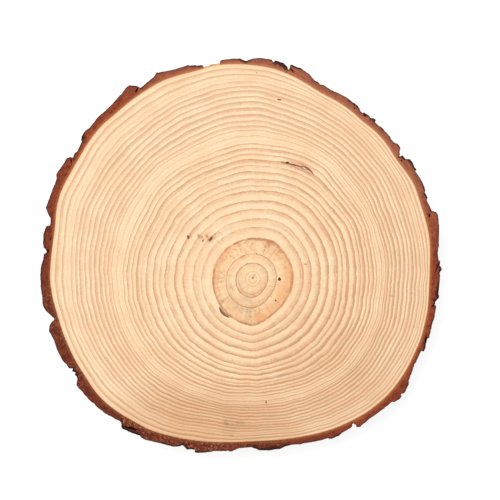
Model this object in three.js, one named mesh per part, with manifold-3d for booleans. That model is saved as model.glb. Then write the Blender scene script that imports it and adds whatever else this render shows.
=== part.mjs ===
// A slice sawn across a softwood log: a pale disc of wood inside a ring of scaly brown bark.
// Sizes are millimetres. The slice lies flat on its lower sawn face, with its thickness along +Z.
// The tree's pith is off the middle of the slice, and everything is laid out round it: an angle is in
// degrees anticlockwise from +X, and a radius is the distance from the pith. The origin is the middle of
// the slice's outline, on the lower sawn face.

import * as THREE from "three";
import { mergeVertices } from "three/addons/utils/BufferGeometryUtils.js";
import Module from "manifold-3d";

// Driving dimensions
const THICKNESS = 25;
const PITH_X = 7.6;
const PITH_Y = -14.7;
const CAMBIUM_GAP = 0.35; // between the wood and the bark, where the two would part
const THINNEST_BARK = 0.75;
const WOOD_STEP = 2; // degrees between two points of the wood's outline
const BARK_STEP = 1.6; // most degrees between two upright columns of the bark

// The weathered skin of a bark plate bulges out below the sawn face: how far down it is fullest,
// and how wide it shows from above where nothing else is said
const SKIN_DEPTH = 3;
const SKIN_BREAK = 1; // where SKIN_AT_BREAK of its width is still to come
const SKIN_AT_BREAK = 0.4;
const PLAIN_SKIN = 0.6;

const WOOD_COLOUR = 0xf0d6ac;
const BARK_COLOUR = 0x7a4230;

// Radius of the wood's edge, every 5 degrees from 0
const CAMBIUM = [
  110.6, 111.3, 112.7, 113.8, 114.4, 115.3, 116.9, 116.9, 116.9, 118.8, 120.0, 120.3,
  121.9, 123.1, 124.1, 126.9, 130.0, 132.5, 133.8, 135.0, 135.6, 135.0, 135.6, 136.2,
  135.6, 135.0, 134.4, 134.7, 133.8, 132.5, 131.9, 131.9, 130.6, 128.1, 127.1, 126.9,
  126.9, 125.9, 124.4, 123.6, 122.8, 122.2, 121.3, 121.2, 120.3, 118.4, 116.2, 114.6,
  112.2, 109.7, 107.5, 105.6, 103.8, 102.5, 101.6, 101.6, 102.1, 102.9, 104.1, 105.5,
  106.9, 108.2, 109.6, 110.6, 111.4, 111.6, 111.6, 111.4, 111.6, 111.2, 111.1, 110.6,
];

// The bark's outline seen from above, once round: its plates, and the furrows between some of them.
// Each point is [angle, thickness of the bark beyond the wood's edge].
const plate = (...edge) => ({ furrow: false, edge });
const furrow = (...edge) => ({ furrow: true, edge });
const BARK = [
  plate([-6.8, 5.5], [-6, 6.9], [0, 6.9], [3, 7.6], [5.5, 6.6]),
  plate([6, 5.6], [8, 5.0], [10, 5.8], [15, 7.3], [19, 8.6], [20, 8.3], [20.5, 6.9]),
  plate([21, 5.9], [24.6, 4.6]),
  plate([24.8, 6.1], [26.7, 5.0]),
  plate([27, 5.6], [28, 5.9], [33.4, 5.4]),
  plate([33.6, 7.1], [35, 6.7], [36, 7.3], [37.4, 7.3], [38, 5.3]),
  plate([38.3, 5.2], [39.6, 5.0]),
  furrow([39.8, 2.7], [40, 2.7]),
  plate([40.1, 3.6], [41, 4.8], [41.5, 6.3], [42.2, 6.5], [43, 6.2], [44, 4.9], [45, 4.4]),
  plate([46, 4.8], [50, 4.6], [52, 4.5]),
  plate([52.2, 6.3], [53.2, 6.3], [53.7, 5.4]),
  plate([53.9, 5.1], [55, 5.4], [56.3, 5.1]),
  furrow([56.5, 4.0], [57.4, 3.9]),
  plate([57.6, 4.5], [58.7, 5.6], [60, 5.8], [65, 5.3], [68, 4.9], [69.7, 5.4], [71, 4.4]),
  plate([71.3, 5.3], [72.5, 4.9], [74, 6.3], [76, 7.2], [77.3, 7.5], [78.4, 6.7], [80, 6.6]),
  furrow([80.1, 2.9], [80.5, 2.9]),
  plate([80.7, 4.4], [82, 5.8], [84.2, 6.1]),
  furrow([84.4, 4.2], [84.7, 4.2]),
  plate([84.9, 5.6], [88, 5.6], [90, 4.6], [91.4, 2.9]),
  furrow([91.6, 2.5], [92.1, 2.5]),
  plate([92.5, 3.1], [93.2, 4.1], [95, 3.6], [98.4, 3.1]),
  furrow([98.7, 0.8], [100.2, 0.8], [100.7, 1.2], [101.2, 0.8], [103, 0.8]), // worn almost to the wood
  plate([103.3, 2.6], [104.8, 3.1]),
  plate([105, 3.8], [107, 5.0], [110, 4.7], [113, 5.4], [115, 6.6], [116.2, 4.9], [118, 4.3],
    [120.5, 3.4]),
  plate([120.8, 5.6], [121.8, 7.5], [122.5, 8.8], [123.3, 8.8], [125, 7.8], [128, 6.4], [133, 5.9],
    [137, 4.9], [138, 5.8], [139.3, 6.3], [140.4, 6.3], [141, 4.6]),
  furrow([141.3, 3.7], [144, 3.4], [145, 4.2], [146, 3.7]),
  plate([146.3, 5.6], [147, 6.9], [151, 7.8], [151.9, 7.9], [153, 6.4], [155, 5.8], [158, 6.2],
    [161, 7.1], [162, 5.9], [162.8, 4.5]),
  furrow([163.3, 3.4], [165.2, 3.3]),
  plate([165.6, 5.6], [166.5, 6.3], [168, 7.1], [170, 6.6], [171.5, 5.5]),
  furrow([172, 3.9], [172.7, 3.4]),
  plate([173.1, 5.0], [174, 5.0], [177, 6.3], [179, 6.7], [184, 6.9], [187.5, 7.5], [189, 6.1],
    [190.3, 4.1], [191.4, 2.6]),
  plate([191.9, 4.6], [193, 7.1], [194.4, 8.5], [195.3, 7.9], [200, 7.9], [203, 7.5], [204, 7.0],
    [206, 5.9]),
  furrow([206.5, 3.9], [207.1, 5.4], [207.6, 4.3], [208, 4.1]),
  plate([208.2, 5.0], [209.8, 5.4], [211, 8.1], [212, 7.8], [214, 7.1], [217.5, 6.6], [218.1, 5.9],
    [219.3, 6.2], [222, 5.9], [225.8, 5.2]),
  furrow([226.2, 4.8], [226.8, 4.6], [227.5, 5.1]),
  plate([228, 6.2], [228.3, 8.0], [229.2, 8.6], [231, 8.2], [234, 6.8], [236, 7.4], [238, 6.9],
    [242, 6.5], [245, 6.7], [246.6, 5.8]),
  furrow([246.9, 4.9], [247.2, 4.9]),
  plate([247.6, 5.6], [248.9, 7.4], [250, 6.4], [251.1, 6.5]),
  plate([251.4, 8.3], [252.3, 8.4], [254, 7.8], [256.5, 6.9]),
  plate([256.8, 6.3], [260, 6.0], [263, 6.1], [265, 4.4]),
  plate([266, 4.2], [269.8, 4.2]),
  plate([270, 4.9], [271, 5.6], [272, 6.9], [275, 7.0], [279, 6.2], [281.6, 4.9]),
  plate([282, 4.7], [284, 4.4], [286, 4.8], [288, 4.6], [291, 5.3], [293, 5.2], [295, 4.8]),
  plate([295.5, 5.6], [296.3, 6.3], [299, 5.8], [301, 4.6], [303.3, 4.3], [304.1, 3.6]),
  furrow([304.3, 2.2], [304.8, 2.2]),
  plate([305, 5.4], [306, 6.2], [308, 5.6], [310, 4.8], [314, 4.8], [318, 5.3]),
  plate([319, 6.6], [320.7, 7.8], [321.8, 7.7]),
  plate([322.2, 6.3], [322.7, 7.6], [323.6, 7.6], [326, 6.4], [327, 5.3], [330, 4.1], [332, 3.3],
    [333, 3.6], [336.6, 3.3]),
  plate([336.9, 5.1], [338, 5.3], [340, 4.4], [341, 4.1]),
  plate([341.4, 5.2], [343, 5.4], [345, 5.1], [348.5, 5.6], [351.2, 5.5], [351.9, 4.8]),
  furrow([352.3, 4.6], [352.8, 4.6]),
];

// Where the weathered skin shows wider from above: [from, to, width]
const WIDE_SKIN = [
  [-6.8, -2.5, 1.4], [1.5, 5.4, 1.5], [20, 21.4, 1.4], [24.8, 30.5, 0.8], [33.6, 39.7, 1.1],
  [52.2, 53.7, 1.3], [58.3, 62, 1.0], [80.6, 84.3, 1.5], [91, 93.2, 1.3], [120.8, 122, 1.0],
  [139.7, 141.2, 1.4], [206, 209.5, 1.1], [228.1, 234, 1.8], [245.4, 249.2, 1.4], [270, 278, 1.5],
  [295.3, 297.5, 0.8], [336.8, 341.2, 0.8],
];

// Openings in the sawn faces. Each is a lens between two points [angle, radius]: its two sides bow
// away from the straight line between them by `inner` and `outer`, counted outwards from the pith.
const WOOD_OPENINGS = [
  // A resin pocket, and the slot in it that goes right through
  { from: [59.7, 75.1], to: [74.3, 75.0], inner: 0.1, outer: 2.8, depth: 3 },
  { from: [63.8, 75.4], to: [66.4, 76.2], inner: 0.2, outer: 1.3, depth: THICKNESS },
  // A slit at the heartwood's edge
  { from: [220.4, 27.7], to: [239.6, 28.5], inner: -0.1, outer: 1.5, depth: 5 },
  // A three-cornered hole in the heartwood
  { from: [357.4, 16.9], to: [2.2, 17.2], inner: -0.6, outer: 1.4, depth: 4 },
];
const BARK_OPENINGS = [
  // A gap under a plate's foot
  { from: [19.1, 117.0], to: [20.4, 117.6], inner: -0.6, outer: 0.6, depth: 4 },
  // A slanting crack
  { from: [120.9, 139.4], to: [122.3, 137.5], inner: -0.5, outer: 0.5, depth: 5 },
  // A long crack between two scales
  { from: [228.9, 122.3], to: [233.0, 118.4], inner: -0.7, outer: 0.8, depth: 6 },
  // A crack behind a thin scale
  { from: [339.2, 115.2], to: [342.6, 113.6], inner: -0.5, outer: 0.5, depth: 4 },
];
const OPENING_SIDES = 5; // straight steps along each side of an opening

// Down its side a plate breaks twice into scales, which recede from the outline by turns. Depths are
// below the upper sawn face, and a reach is a share of the thickness seen from above. Where there are
// two numbers, each plate draws its own between them.
const BARK_SEED = 7;
const UPPER_BREAK = [5.5, 13];
const LOWER_BREAK = [15.5, 20];
const BREAK_LIP = 0.7; // height of the ledge at a break
const BREAK_WAVER = 0.8; // how unevenly a break runs
const BREAK_SLANT = [-0.2, 0.2]; // how much it climbs or falls in a degree
const UPPER_REACH = [0.94, 1];
const MIDDLE_REACH = [0.72, 0.98];
const LOWER_REACH = [0.72, 1];
const LEDGE_REACH = 0.98; // of the scale below the lower break, just above it
const FURROW_MIDDLE = 0.8;
const FURROW_LOWER = 0.75;
// The groove between two plates that meet
const SEAM = { upperBreak: 5, lowerBreak: 18, upper: 0.66, middle: 0.52, lower: 0.58 };
const NARROWING = [0.01, 0.05]; // how much narrower a plate is at the bottom, which widens the furrows
const WEAR = 0.25; // how far its outline is worn back between two points
const ROUGHNESS = 0.06; // how far its sides are worn back, as a share of the thickness

/** A repeatable run of numbers from 0 to 1. */
function seededRandom(seed) {
  let state = seed;
  return () => {
    state = (state * 1664525 + 1013904223) % 4294967296;
    return state / 4294967296;
  };
}

/** Radius of the wood's edge at any angle, on a smooth closed curve through the CAMBIUM radii. */
function cambiumRadius(angle) {
  const count = CAMBIUM.length;
  const place = THREE.MathUtils.euclideanModulo(angle, 360) / (360 / count);
  const first = Math.floor(place);
  const t = place - first;
  const [before, here, next, after] = [-1, 0, 1, 2].map((step) => CAMBIUM[(first + step + count) % count]);
  const slopeHere = (next - before) / 2;
  const slopeNext = (after - here) / 2;
  const bend = 2 * (here - next) + slopeHere + slopeNext;
  return here + t * (slopeHere + t * (3 * (next - here) - 2 * slopeHere - slopeNext + t * bend));
}

/** A point in the slice's own X and Y, from its angle and radius round the pith. */
function polar(angle, radius) {
  const turn = THREE.MathUtils.degToRad(angle);
  return new THREE.Vector2(Math.cos(turn) * radius, Math.sin(turn) * radius);
}

/** How wide the weathered skin shows outside the bark's sawn face, seen from above. */
function skinWidth(angle) {
  const wide = WIDE_SKIN.find(([from, to]) => angle >= from && angle <= to);
  return wide ? wide[2] : PLAIN_SKIN;
}

/** The scales of one plate or furrow: where they break, down from the sawn face, and how they recede. */
function scalesOf({ furrow: isFurrow, edge }, random) {
  const between = ([low, high]) => THREE.MathUtils.lerp(low, high, random());
  const scales = {
    middleAngle: (edge[0][0] + edge[edge.length - 1][0]) / 2,
    upperBreak: between(UPPER_BREAK),
    lowerBreak: between(LOWER_BREAK),
    slant: between(BREAK_SLANT),
    upper: between(UPPER_REACH),
    middle: between(MIDDLE_REACH),
    lower: between(LOWER_REACH),
    narrowing: between(NARROWING),
  };
  return isFurrow ? { ...scales, middle: FURROW_MIDDLE, lower: FURROW_LOWER, narrowing: 0 } : scales;
}

/** One upright section of the bark, as points of angle, radius and height from its top inner corner
 *  outwards and down to its bottom inner corner. The thickness is the one seen from above, and the
 *  bark reaches it just below the sawn face and no further anywhere. */
function barkSection(angle, thickness, scales, random) {
  const skin = Math.max(Math.min(skinWidth(angle), (thickness - THINNEST_BARK) / 2), 0);
  const offCentre = angle - scales.middleAngle;
  const upperBreak = scales.upperBreak + scales.slant * offCentre + BREAK_WAVER * random();
  const lowerBreak = scales.lowerBreak + scales.slant * offCentre + BREAK_WAVER * random();
  const rows = [
    [0, thickness - skin],
    [SKIN_BREAK, thickness - skin * SKIN_AT_BREAK],
    [SKIN_DEPTH, thickness],
    [upperBreak, thickness * scales.upper],
    [upperBreak + BREAK_LIP, thickness * scales.middle],
    [(upperBreak + lowerBreak) / 2, thickness * (scales.middle - ROUGHNESS * random())],
    [lowerBreak, thickness * Math.max(scales.middle, scales.lower) * LEDGE_REACH],
    [lowerBreak + BREAK_LIP, thickness * scales.lower],
    [THICKNESS, thickness * (scales.lower - ROUGHNESS * random())],
  ];
  const inner = cambiumRadius(angle) + CAMBIUM_GAP / 2;
  const outside = rows.map(([depth, reach]) => {
    const below = Math.max(depth - SKIN_DEPTH, 0) / (THICKNESS - SKIN_DEPTH);
    return {
      angle: scales.middleAngle + offCentre * (1 - scales.narrowing * below),
      radius: inner + Math.max(reach, THINNEST_BARK) - CAMBIUM_GAP / 2,
      height: THICKNESS - depth,
    };
  });
  return [
    { angle, radius: inner, height: THICKNESS },
    ...outside,
    { angle, radius: inner, height: 0 },
  ];
}

/** The sections of one plate or furrow: one at each point of its outline, and more between them where
 *  those stand far apart. */
function stretchSections(stretch, random) {
  const scales = scalesOf(stretch, random);
  return stretch.edge.flatMap(([angle, thickness], index) => {
    const [nextAngle, nextThickness] = stretch.edge[index + 1] ?? [angle, thickness];
    const steps = Math.max(1, Math.ceil((nextAngle - angle) / BARK_STEP));
    return Array.from({ length: steps }, (_, step) => {
      const share = step / steps;
      const between = THREE.MathUtils.lerp(angle, nextAngle, share);
      const worn = share > 0 ? WEAR * random() : 0;
      const here = THREE.MathUtils.lerp(thickness, nextThickness, share) - worn;
      return barkSection(between, here, scales, random);
    });
  });
}

/** The section of the groove between two plates that meet at the sawn face, or none beside a furrow. */
function seamSections(stretch, next, random) {
  if (stretch.furrow || next.furrow) {
    return [];
  }
  const [angle, thickness] = stretch.edge[stretch.edge.length - 1];
  const [nextAngle, nextThickness] = next.edge[0];
  const middleAngle = angle + THREE.MathUtils.euclideanModulo(nextAngle - angle, 360) / 2;
  const seam = { ...SEAM, middleAngle, slant: 0, narrowing: 0 };
  return [barkSection(middleAngle, Math.min(thickness, nextThickness), seam, random)];
}

/** Every section of the bark, once round. */
function barkSections() {
  const random = seededRandom(BARK_SEED);
  return BARK.flatMap((stretch, index) => [
    ...stretchSections(stretch, random),
    ...seamSections(stretch, BARK[(index + 1) % BARK.length], random),
  ]);
}

/** A closed ring skinned over upright sections that all have as many points. */
function ringGeometry(sections) {
  const perSection = sections[0].length;
  const positions = sections.flatMap((section) => section.flatMap(({ angle, radius, height }) => {
    const { x, y } = polar(angle, radius);
    return [x, y, height];
  }));
  const index = [];
  sections.forEach((_, s) => {
    const next = (s + 1) % sections.length;
    for (let p = 0; p < perSection; p++) {
      const q = (p + 1) % perSection;
      const [a, b] = [s * perSection + p, s * perSection + q];
      const [c, d] = [next * perSection + p, next * perSection + q];
      index.push(a, b, d, a, d, c);
    }
  });
  const geometry = new THREE.BufferGeometry();
  geometry.setAttribute("position", new THREE.Float32BufferAttribute(positions, 3));
  geometry.setIndex(index);
  return geometry;
}

/** The disc of wood, out to its edge. */
function discGeometry() {
  const outline = [];
  for (let angle = 0; angle < 360; angle += WOOD_STEP) {
    outline.push(polar(angle, cambiumRadius(angle) - CAMBIUM_GAP / 2));
  }
  return new THREE.ExtrudeGeometry(new THREE.Shape(outline), { depth: THICKNESS, bevelEnabled: false });
}

/** The room of one opening, from its depth to just above the upper sawn face, or through both. */
function openingGeometry({ from, to, inner, outer, depth }) {
  const start = polar(...from);
  const end = polar(...to);
  const middle = start.clone().add(end).multiplyScalar(0.5);
  const outward = middle.clone().normalize();
  // A quadratic curve bows half as far as its control point stands off
  const bowed = (bow) => middle.clone().addScaledVector(outward, 2 * bow);
  const shape = new THREE.Shape();
  const [near, far] = [bowed(inner), bowed(outer)];
  shape.moveTo(start.x, start.y);
  shape.quadraticCurveTo(near.x, near.y, end.x, end.y);
  shape.quadraticCurveTo(far.x, far.y, start.x, start.y);
  const beyond = 1;
  const geometry = new THREE.ExtrudeGeometry(shape, {
    depth: depth + (depth < THICKNESS ? beyond : 2 * beyond),
    bevelEnabled: false,
    curveSegments: OPENING_SIDES,
  });
  geometry.translate(0, 0, depth < THICKNESS ? THICKNESS - depth : -beyond);
  return geometry;
}

const wasm = await Module();
wasm.setup();

/** The solid of a closed geometry. */
function solidOf(geometry) {
  const bare = geometry.clone();
  bare.deleteAttribute("normal");
  bare.deleteAttribute("uv");
  const merged = mergeVertices(bare, 1e-5);
  return new wasm.Manifold(new wasm.Mesh({
    numProp: 3,
    vertProperties: merged.attributes.position.array,
    triVerts: new Uint32Array(merged.index.array),
  }));
}

/** A mesh of a geometry with its openings cut out of it. */
function cutMesh(name, geometry, openings, material) {
  const remove = (solid, opening) => solid.subtract(solidOf(openingGeometry(opening)));
  const cut = openings.reduce(remove, solidOf(geometry));
  const { vertProperties, triVerts } = cut.getMesh();
  const result = new THREE.BufferGeometry();
  result.setAttribute("position", new THREE.Float32BufferAttribute(vertProperties, 3));
  result.setIndex(new THREE.Uint32BufferAttribute(triVerts, 1));
  result.computeVertexNormals();
  const mesh = new THREE.Mesh(result, material);
  mesh.name = name;
  return mesh;
}

const woodMaterial = new THREE.MeshStandardMaterial({ color: WOOD_COLOUR, roughness: 0.6, metalness: 0 });
const barkMaterial = new THREE.MeshStandardMaterial({ color: BARK_COLOUR, roughness: 0.95, metalness: 0 });

const slice = new THREE.Group();
slice.name = "wood_slice";
slice.position.set(PITH_X, PITH_Y, 0);
slice.add(cutMesh("wood", discGeometry(), WOOD_OPENINGS, woodMaterial));
slice.add(cutMesh("bark", ringGeometry(barkSections()), BARK_OPENINGS, barkMaterial));

export default slice;
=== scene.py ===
"""A slice sawn across a softwood log, lying on a pale floor under soft studio light.

The slice is laid out round the tree's pith: an angle is in degrees anticlockwise from +X, and a radius is the
distance from the pith. Names that end in _mm or _MM hold millimetres, and materials and the ends of openings
are laid out in millimetres too. Every other length is in metres.
"""

import functools
import logging
import math
from dataclasses import dataclass
from enum import Enum

import bmesh
import bpy
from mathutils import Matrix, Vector, noise
from mathutils.bvhtree import BVHTree


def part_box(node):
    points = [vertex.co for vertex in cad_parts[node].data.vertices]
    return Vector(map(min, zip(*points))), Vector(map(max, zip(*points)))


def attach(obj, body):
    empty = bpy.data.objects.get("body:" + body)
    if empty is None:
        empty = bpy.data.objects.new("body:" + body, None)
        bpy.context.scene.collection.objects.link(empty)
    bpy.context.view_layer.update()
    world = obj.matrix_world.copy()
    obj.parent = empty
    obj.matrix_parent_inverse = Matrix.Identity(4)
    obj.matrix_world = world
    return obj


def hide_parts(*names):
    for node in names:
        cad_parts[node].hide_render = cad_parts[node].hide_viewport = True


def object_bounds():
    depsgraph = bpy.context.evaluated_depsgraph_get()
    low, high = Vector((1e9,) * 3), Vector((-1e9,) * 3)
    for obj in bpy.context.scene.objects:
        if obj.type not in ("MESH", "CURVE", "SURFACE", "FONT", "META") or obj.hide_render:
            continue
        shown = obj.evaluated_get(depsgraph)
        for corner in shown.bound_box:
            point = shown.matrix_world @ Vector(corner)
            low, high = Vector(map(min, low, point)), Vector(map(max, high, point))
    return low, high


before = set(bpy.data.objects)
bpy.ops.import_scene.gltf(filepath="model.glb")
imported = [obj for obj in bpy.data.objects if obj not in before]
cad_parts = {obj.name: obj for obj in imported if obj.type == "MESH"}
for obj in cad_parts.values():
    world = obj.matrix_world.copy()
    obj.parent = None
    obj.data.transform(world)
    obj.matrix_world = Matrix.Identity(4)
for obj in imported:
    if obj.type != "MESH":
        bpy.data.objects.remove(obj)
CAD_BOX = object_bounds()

logging.basicConfig(level=logging.INFO, format="%(message)s")
log = logging.getLogger("wood_slice")

MM = 0.001
PITH = Vector((7.6 * MM, -14.7 * MM, 0.0))
MERGE_DISTANCE = 1e-6
SHARP_ANGLE = math.radians(38.0)
# Angles are rounded to this many digits, so that points above each other share one
ANGLE_DIGITS = 5


def smooth_step(low: float, high: float, value: float) -> float:
    """Rises smoothly from 0 to 1.

    Args:
        low: Where the rise starts.
        high: Where it ends.
        value: The place asked for.

    Returns:
        A share from 0 to 1.
    """
    share = min(max((value - low) / (high - low), 0.0), 1.0)
    return share * share * (3.0 - 2.0 * share)


def mix(first: float, second: float, share: float) -> float:
    """Returns the number that lies a share of the way from the first to the second."""
    return first + (second - first) * share


def heading(angle: float) -> Vector:
    """Returns the flat unit vector that points away from the pith at an angle in degrees."""
    turn = math.radians(angle)
    return Vector((math.cos(turn), math.sin(turn), 0.0))


def place(angle: float, radius: float, height: float = 0.0) -> Vector:
    """Returns the point at an angle in degrees, a radius from the pith and a height, in metres."""
    return PITH + heading(angle) * radius + Vector((0.0, 0.0, height))


def angle_of(point: Vector) -> float:
    """Returns a point's angle round the origin, in degrees from 0 to 360."""
    return round(math.degrees(math.atan2(point.y, point.x)) % 360.0, ANGLE_DIGITS) % 360.0


def tint(red: float, green: float, blue: float) -> tuple[float, float, float, float]:
    """Turns a colour as it is seen into the light it throws back.

    Args:
        red: Red as seen, from 0 to 255.
        green: Green as seen, from 0 to 255.
        blue: Blue as seen, from 0 to 255.

    Returns:
        The linear colour, opaque.
    """
    def linear(value: float) -> float:
        """Returns one channel without its display curve."""
        share = value / 255.0
        return share / 12.92 if share <= 0.04045 else ((share + 0.055) / 1.055) ** 2.4

    return (linear(red), linear(green), linear(blue), 1.0)


@dataclass(frozen=True)
class Grain:
    """How fine and how rough a layer of noise is.

    Attributes:
        scale: How many of its grains fit in one unit of the place where it is read.
        detail: How many finer layers are added.
        roughness: How strong those are.
    """

    scale: float
    detail: float = 2.0
    roughness: float = 0.5


class Sketch:
    """A material's node tree, written in small named steps."""

    def __init__(self, name: str) -> None:
        """Starts a new material with one Principled shader.

        Args:
            name: The material's name.
        """
        self.material = bpy.data.materials.new(name)
        self.material.use_nodes = True
        tree = self.material.node_tree
        self.nodes = tree.nodes
        self.links = tree.links
        self.shader = self.nodes["Principled BSDF"]

    def node(self, kind: str, values: dict, **settings: object) -> bpy.types.Node:
        """Adds a node.

        Args:
            kind: The node's type in Blender.
            values: What each input gets, by its name or place: a number, a colour, a vector or the socket
                that feeds it.
            **settings: The node's own settings.

        Returns:
            The new node.
        """
        node = self.nodes.new(kind)
        for name, setting in settings.items():
            setattr(node, name, setting)
        for name, value in values.items():
            if isinstance(value, bpy.types.NodeSocket):
                self.links.new(value, node.inputs[name])
            else:
                node.inputs[name].default_value = value
        return node

    def maths(self, operation: str, *values: object) -> bpy.types.NodeSocket:
        """Returns the result of a Math node on up to three numbers or sockets."""
        return self.node("ShaderNodeMath", dict(enumerate(values)), operation=operation).outputs[0]

    def times(self, first: object, second: object) -> bpy.types.NodeSocket:
        """Returns the product of two numbers or sockets."""
        return self.maths("MULTIPLY", first, second)

    def plus(self, first: object, second: object) -> bpy.types.NodeSocket:
        """Returns the sum of two numbers or sockets."""
        return self.maths("ADD", first, second)

    def gap(self, first: object, second: object) -> bpy.types.NodeSocket:
        """Returns how far apart two numbers are."""
        return self.maths("ABSOLUTE", self.maths("SUBTRACT", first, second))

    def swing(self, value: object, reach: float) -> bpy.types.NodeSocket:
        """Returns a number from 0 to 1 as one from half a reach under 0 to half a reach over it."""
        return self.maths("MULTIPLY_ADD", value, reach, -reach / 2.0)

    def vector(self, operation: str, *values: object) -> bpy.types.NodeSocket:
        """Returns the vector that a Vector Math node makes of vectors or sockets."""
        return self.node("ShaderNodeVectorMath", dict(enumerate(values)), operation=operation).outputs[0]

    def scaled(self, vector: object, factor: object) -> bpy.types.NodeSocket:
        """Returns a vector made longer by a factor."""
        node = self.node("ShaderNodeVectorMath", {0: vector, "Scale": factor}, operation="SCALE")
        return node.outputs[0]

    def lifted(self, flat: object, fineness: object, level: object, step: float) -> bpy.types.NodeSocket:
        """Finds where noise is read, so that it runs along the rings and differs from layer to layer.

        Args:
            flat: A flat place or direction.
            fineness: How many grains fit in one unit of it.
            level: The number of the layer.
            step: How far the noise moves on from one layer to the next.

        Returns:
            The place.
        """
        return self.vector("ADD", self.scaled(flat, fineness), self.scaled((0.0, 0.0, step), level))

    def length(self, vector: object) -> bpy.types.NodeSocket:
        """Returns the length of a vector."""
        return self.node("ShaderNodeVectorMath", {0: vector}, operation="LENGTH").outputs["Value"]

    def rise(self, value: object, low: object, high: object) -> bpy.types.NodeSocket:
        """Returns a smooth rise from 0 at low to 1 at high; high may be the lower number, for a fall."""
        values = {"Value": value, "From Min": low, "From Max": high}
        return self.node("ShaderNodeMapRange", values, interpolation_type="SMOOTHSTEP").outputs[0]

    def spread(self, value: object, low: float, high: float) -> bpy.types.NodeSocket:
        """Returns a number from 0 to 1 spread evenly from low to high."""
        return self.node("ShaderNodeMapRange", {"Value": value, "To Min": low, "To Max": high}).outputs[0]

    def noise(self, vector: object, grain: Grain) -> bpy.types.NodeSocket:
        """Adds smooth noise.

        Args:
            vector: Where it is read.
            grain: How fine and how rough it is.

        Returns:
            The socket with its value, mostly from 0.3 to 0.7.
        """
        values = {"Vector": vector, "Scale": grain.scale, "Detail": grain.detail,
                  "Roughness": grain.roughness}
        return self.node("ShaderNodeTexNoise", values).outputs["Fac"]

    def blend(self, share: object, first: object, second: object) -> bpy.types.NodeSocket:
        """Returns the colour that lies a share of the way from the first to the second."""
        return self.node("ShaderNodeMix", {0: share, 6: first, 7: second}, data_type="RGBA").outputs[2]

    def multiply(self, share: object, first: object, second: object) -> bpy.types.NodeSocket:
        """Returns the first colour darkened by the second, by a share."""
        values = {0: share, 6: first, 7: second}
        return self.node("ShaderNodeMix", values, data_type="RGBA", blend_type="MULTIPLY").outputs[2]

    def attribute(self, name: str) -> bpy.types.NodeSocket:
        """Returns the number that the mesh holds under a name."""
        return self.node("ShaderNodeAttribute", {}, attribute_name=name).outputs["Fac"]

    def bump(self, height: object, depth: float) -> None:
        """Roughens the shader's surface.

        Args:
            height: The relief, from 0 to 1.
            depth: How deep it is, in metres.
        """
        bump = self.node("ShaderNodeBump", {"Height": height, "Distance": depth, "Strength": 1.0})
        self.links.new(bump.outputs[0], self.shader.inputs["Normal"])

    def dot(self, vector: object, axis: Vector) -> bpy.types.NodeSocket:
        """Returns the dot product of a vector with a fixed axis."""
        values = {0: vector, 1: tuple(axis)}
        return self.node("ShaderNodeVectorMath", values, operation="DOT_PRODUCT").outputs["Value"]

    def from_pith(self) -> bpy.types.NodeSocket:
        """Returns the place on the piece, measured from the pith, in millimetres."""
        place_on_piece = self.node("ShaderNodeTexCoord", {}).outputs["Object"]
        return self.scaled(self.vector("SUBTRACT", place_on_piece, tuple(PITH)), 1.0 / MM)

    def finish(self, colour: object, roughness: object, gloss: float) -> bpy.types.Material:
        """Joins the last colour and roughness to the shader.

        Args:
            colour: The colour or its socket.
            roughness: The roughness or its socket.
            gloss: The strength of the shader's highlight.

        Returns:
            The finished material.
        """
        for name, value in (("Base Color", colour), ("Roughness", roughness)):
            if isinstance(value, bpy.types.NodeSocket):
                self.links.new(value, self.shader.inputs[name])
            else:
                self.shader.inputs[name].default_value = value
        self.shader.inputs["Specular IOR Level"].default_value = gloss
        return self.material


class CadSurface:
    """The surface of a CAD node, to measure the fine piece from."""

    FAR = 0.5

    def __init__(self, node: str) -> None:
        """Reads the surface of a node into a search tree.

        Args:
            node: The node's name.
        """
        work = bmesh.new()
        work.from_mesh(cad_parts[node].data)
        bmesh.ops.remove_doubles(work, verts=work.verts, dist=MERGE_DISTANCE)
        self.tree = BVHTree.FromBMesh(work)
        work.free()

    def radius_from_outside(self, angle: float, height: float) -> float:
        """Finds the outermost surface at one angle and height.

        Args:
            angle: Degrees round the pith.
            height: Metres above the floor.

        Returns:
            Its radius from the pith.
        """
        start = place(angle, self.FAR, height)
        found = self.tree.ray_cast(start, -heading(angle))[0]
        return (found - place(angle, 0.0, height)).length


@dataclass(frozen=True)
class RoundCurve:
    """A smooth closed curve round the pith, through radii in millimetres at equal steps of the angle."""

    radii_mm: tuple[float, ...]

    def radius_mm(self, angle: float) -> float:
        """Finds how far the curve lies from the pith.

        Args:
            angle: Degrees round the pith.

        Returns:
            The radius in millimetres.
        """
        count = len(self.radii_mm)
        way = (angle % 360.0) / 360.0 * count
        first = int(way)
        t = way - first
        before, here, after, last = (self.radii_mm[(first + step) % count] for step in (-1, 0, 1, 2))
        slope_here = (after - before) / 2.0
        slope_after = (last - here) / 2.0
        bend = 2.0 * (here - after) + slope_here + slope_after
        sweep = 3.0 * (after - here) - 2.0 * slope_here - slope_after
        return here + t * (slope_here + t * (sweep + t * bend))


@dataclass(frozen=True)
class Years:
    """A run of years that ends at a measured ring.

    Attributes:
        end: The ring that closes the run, or None for the wood's edge.
        lines: For each year of the run, the share of the run's width at which it ends and the darkness of
            its last wood.
    """

    end: RoundCurve | None
    lines: tuple[tuple[float, float], ...]


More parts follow.
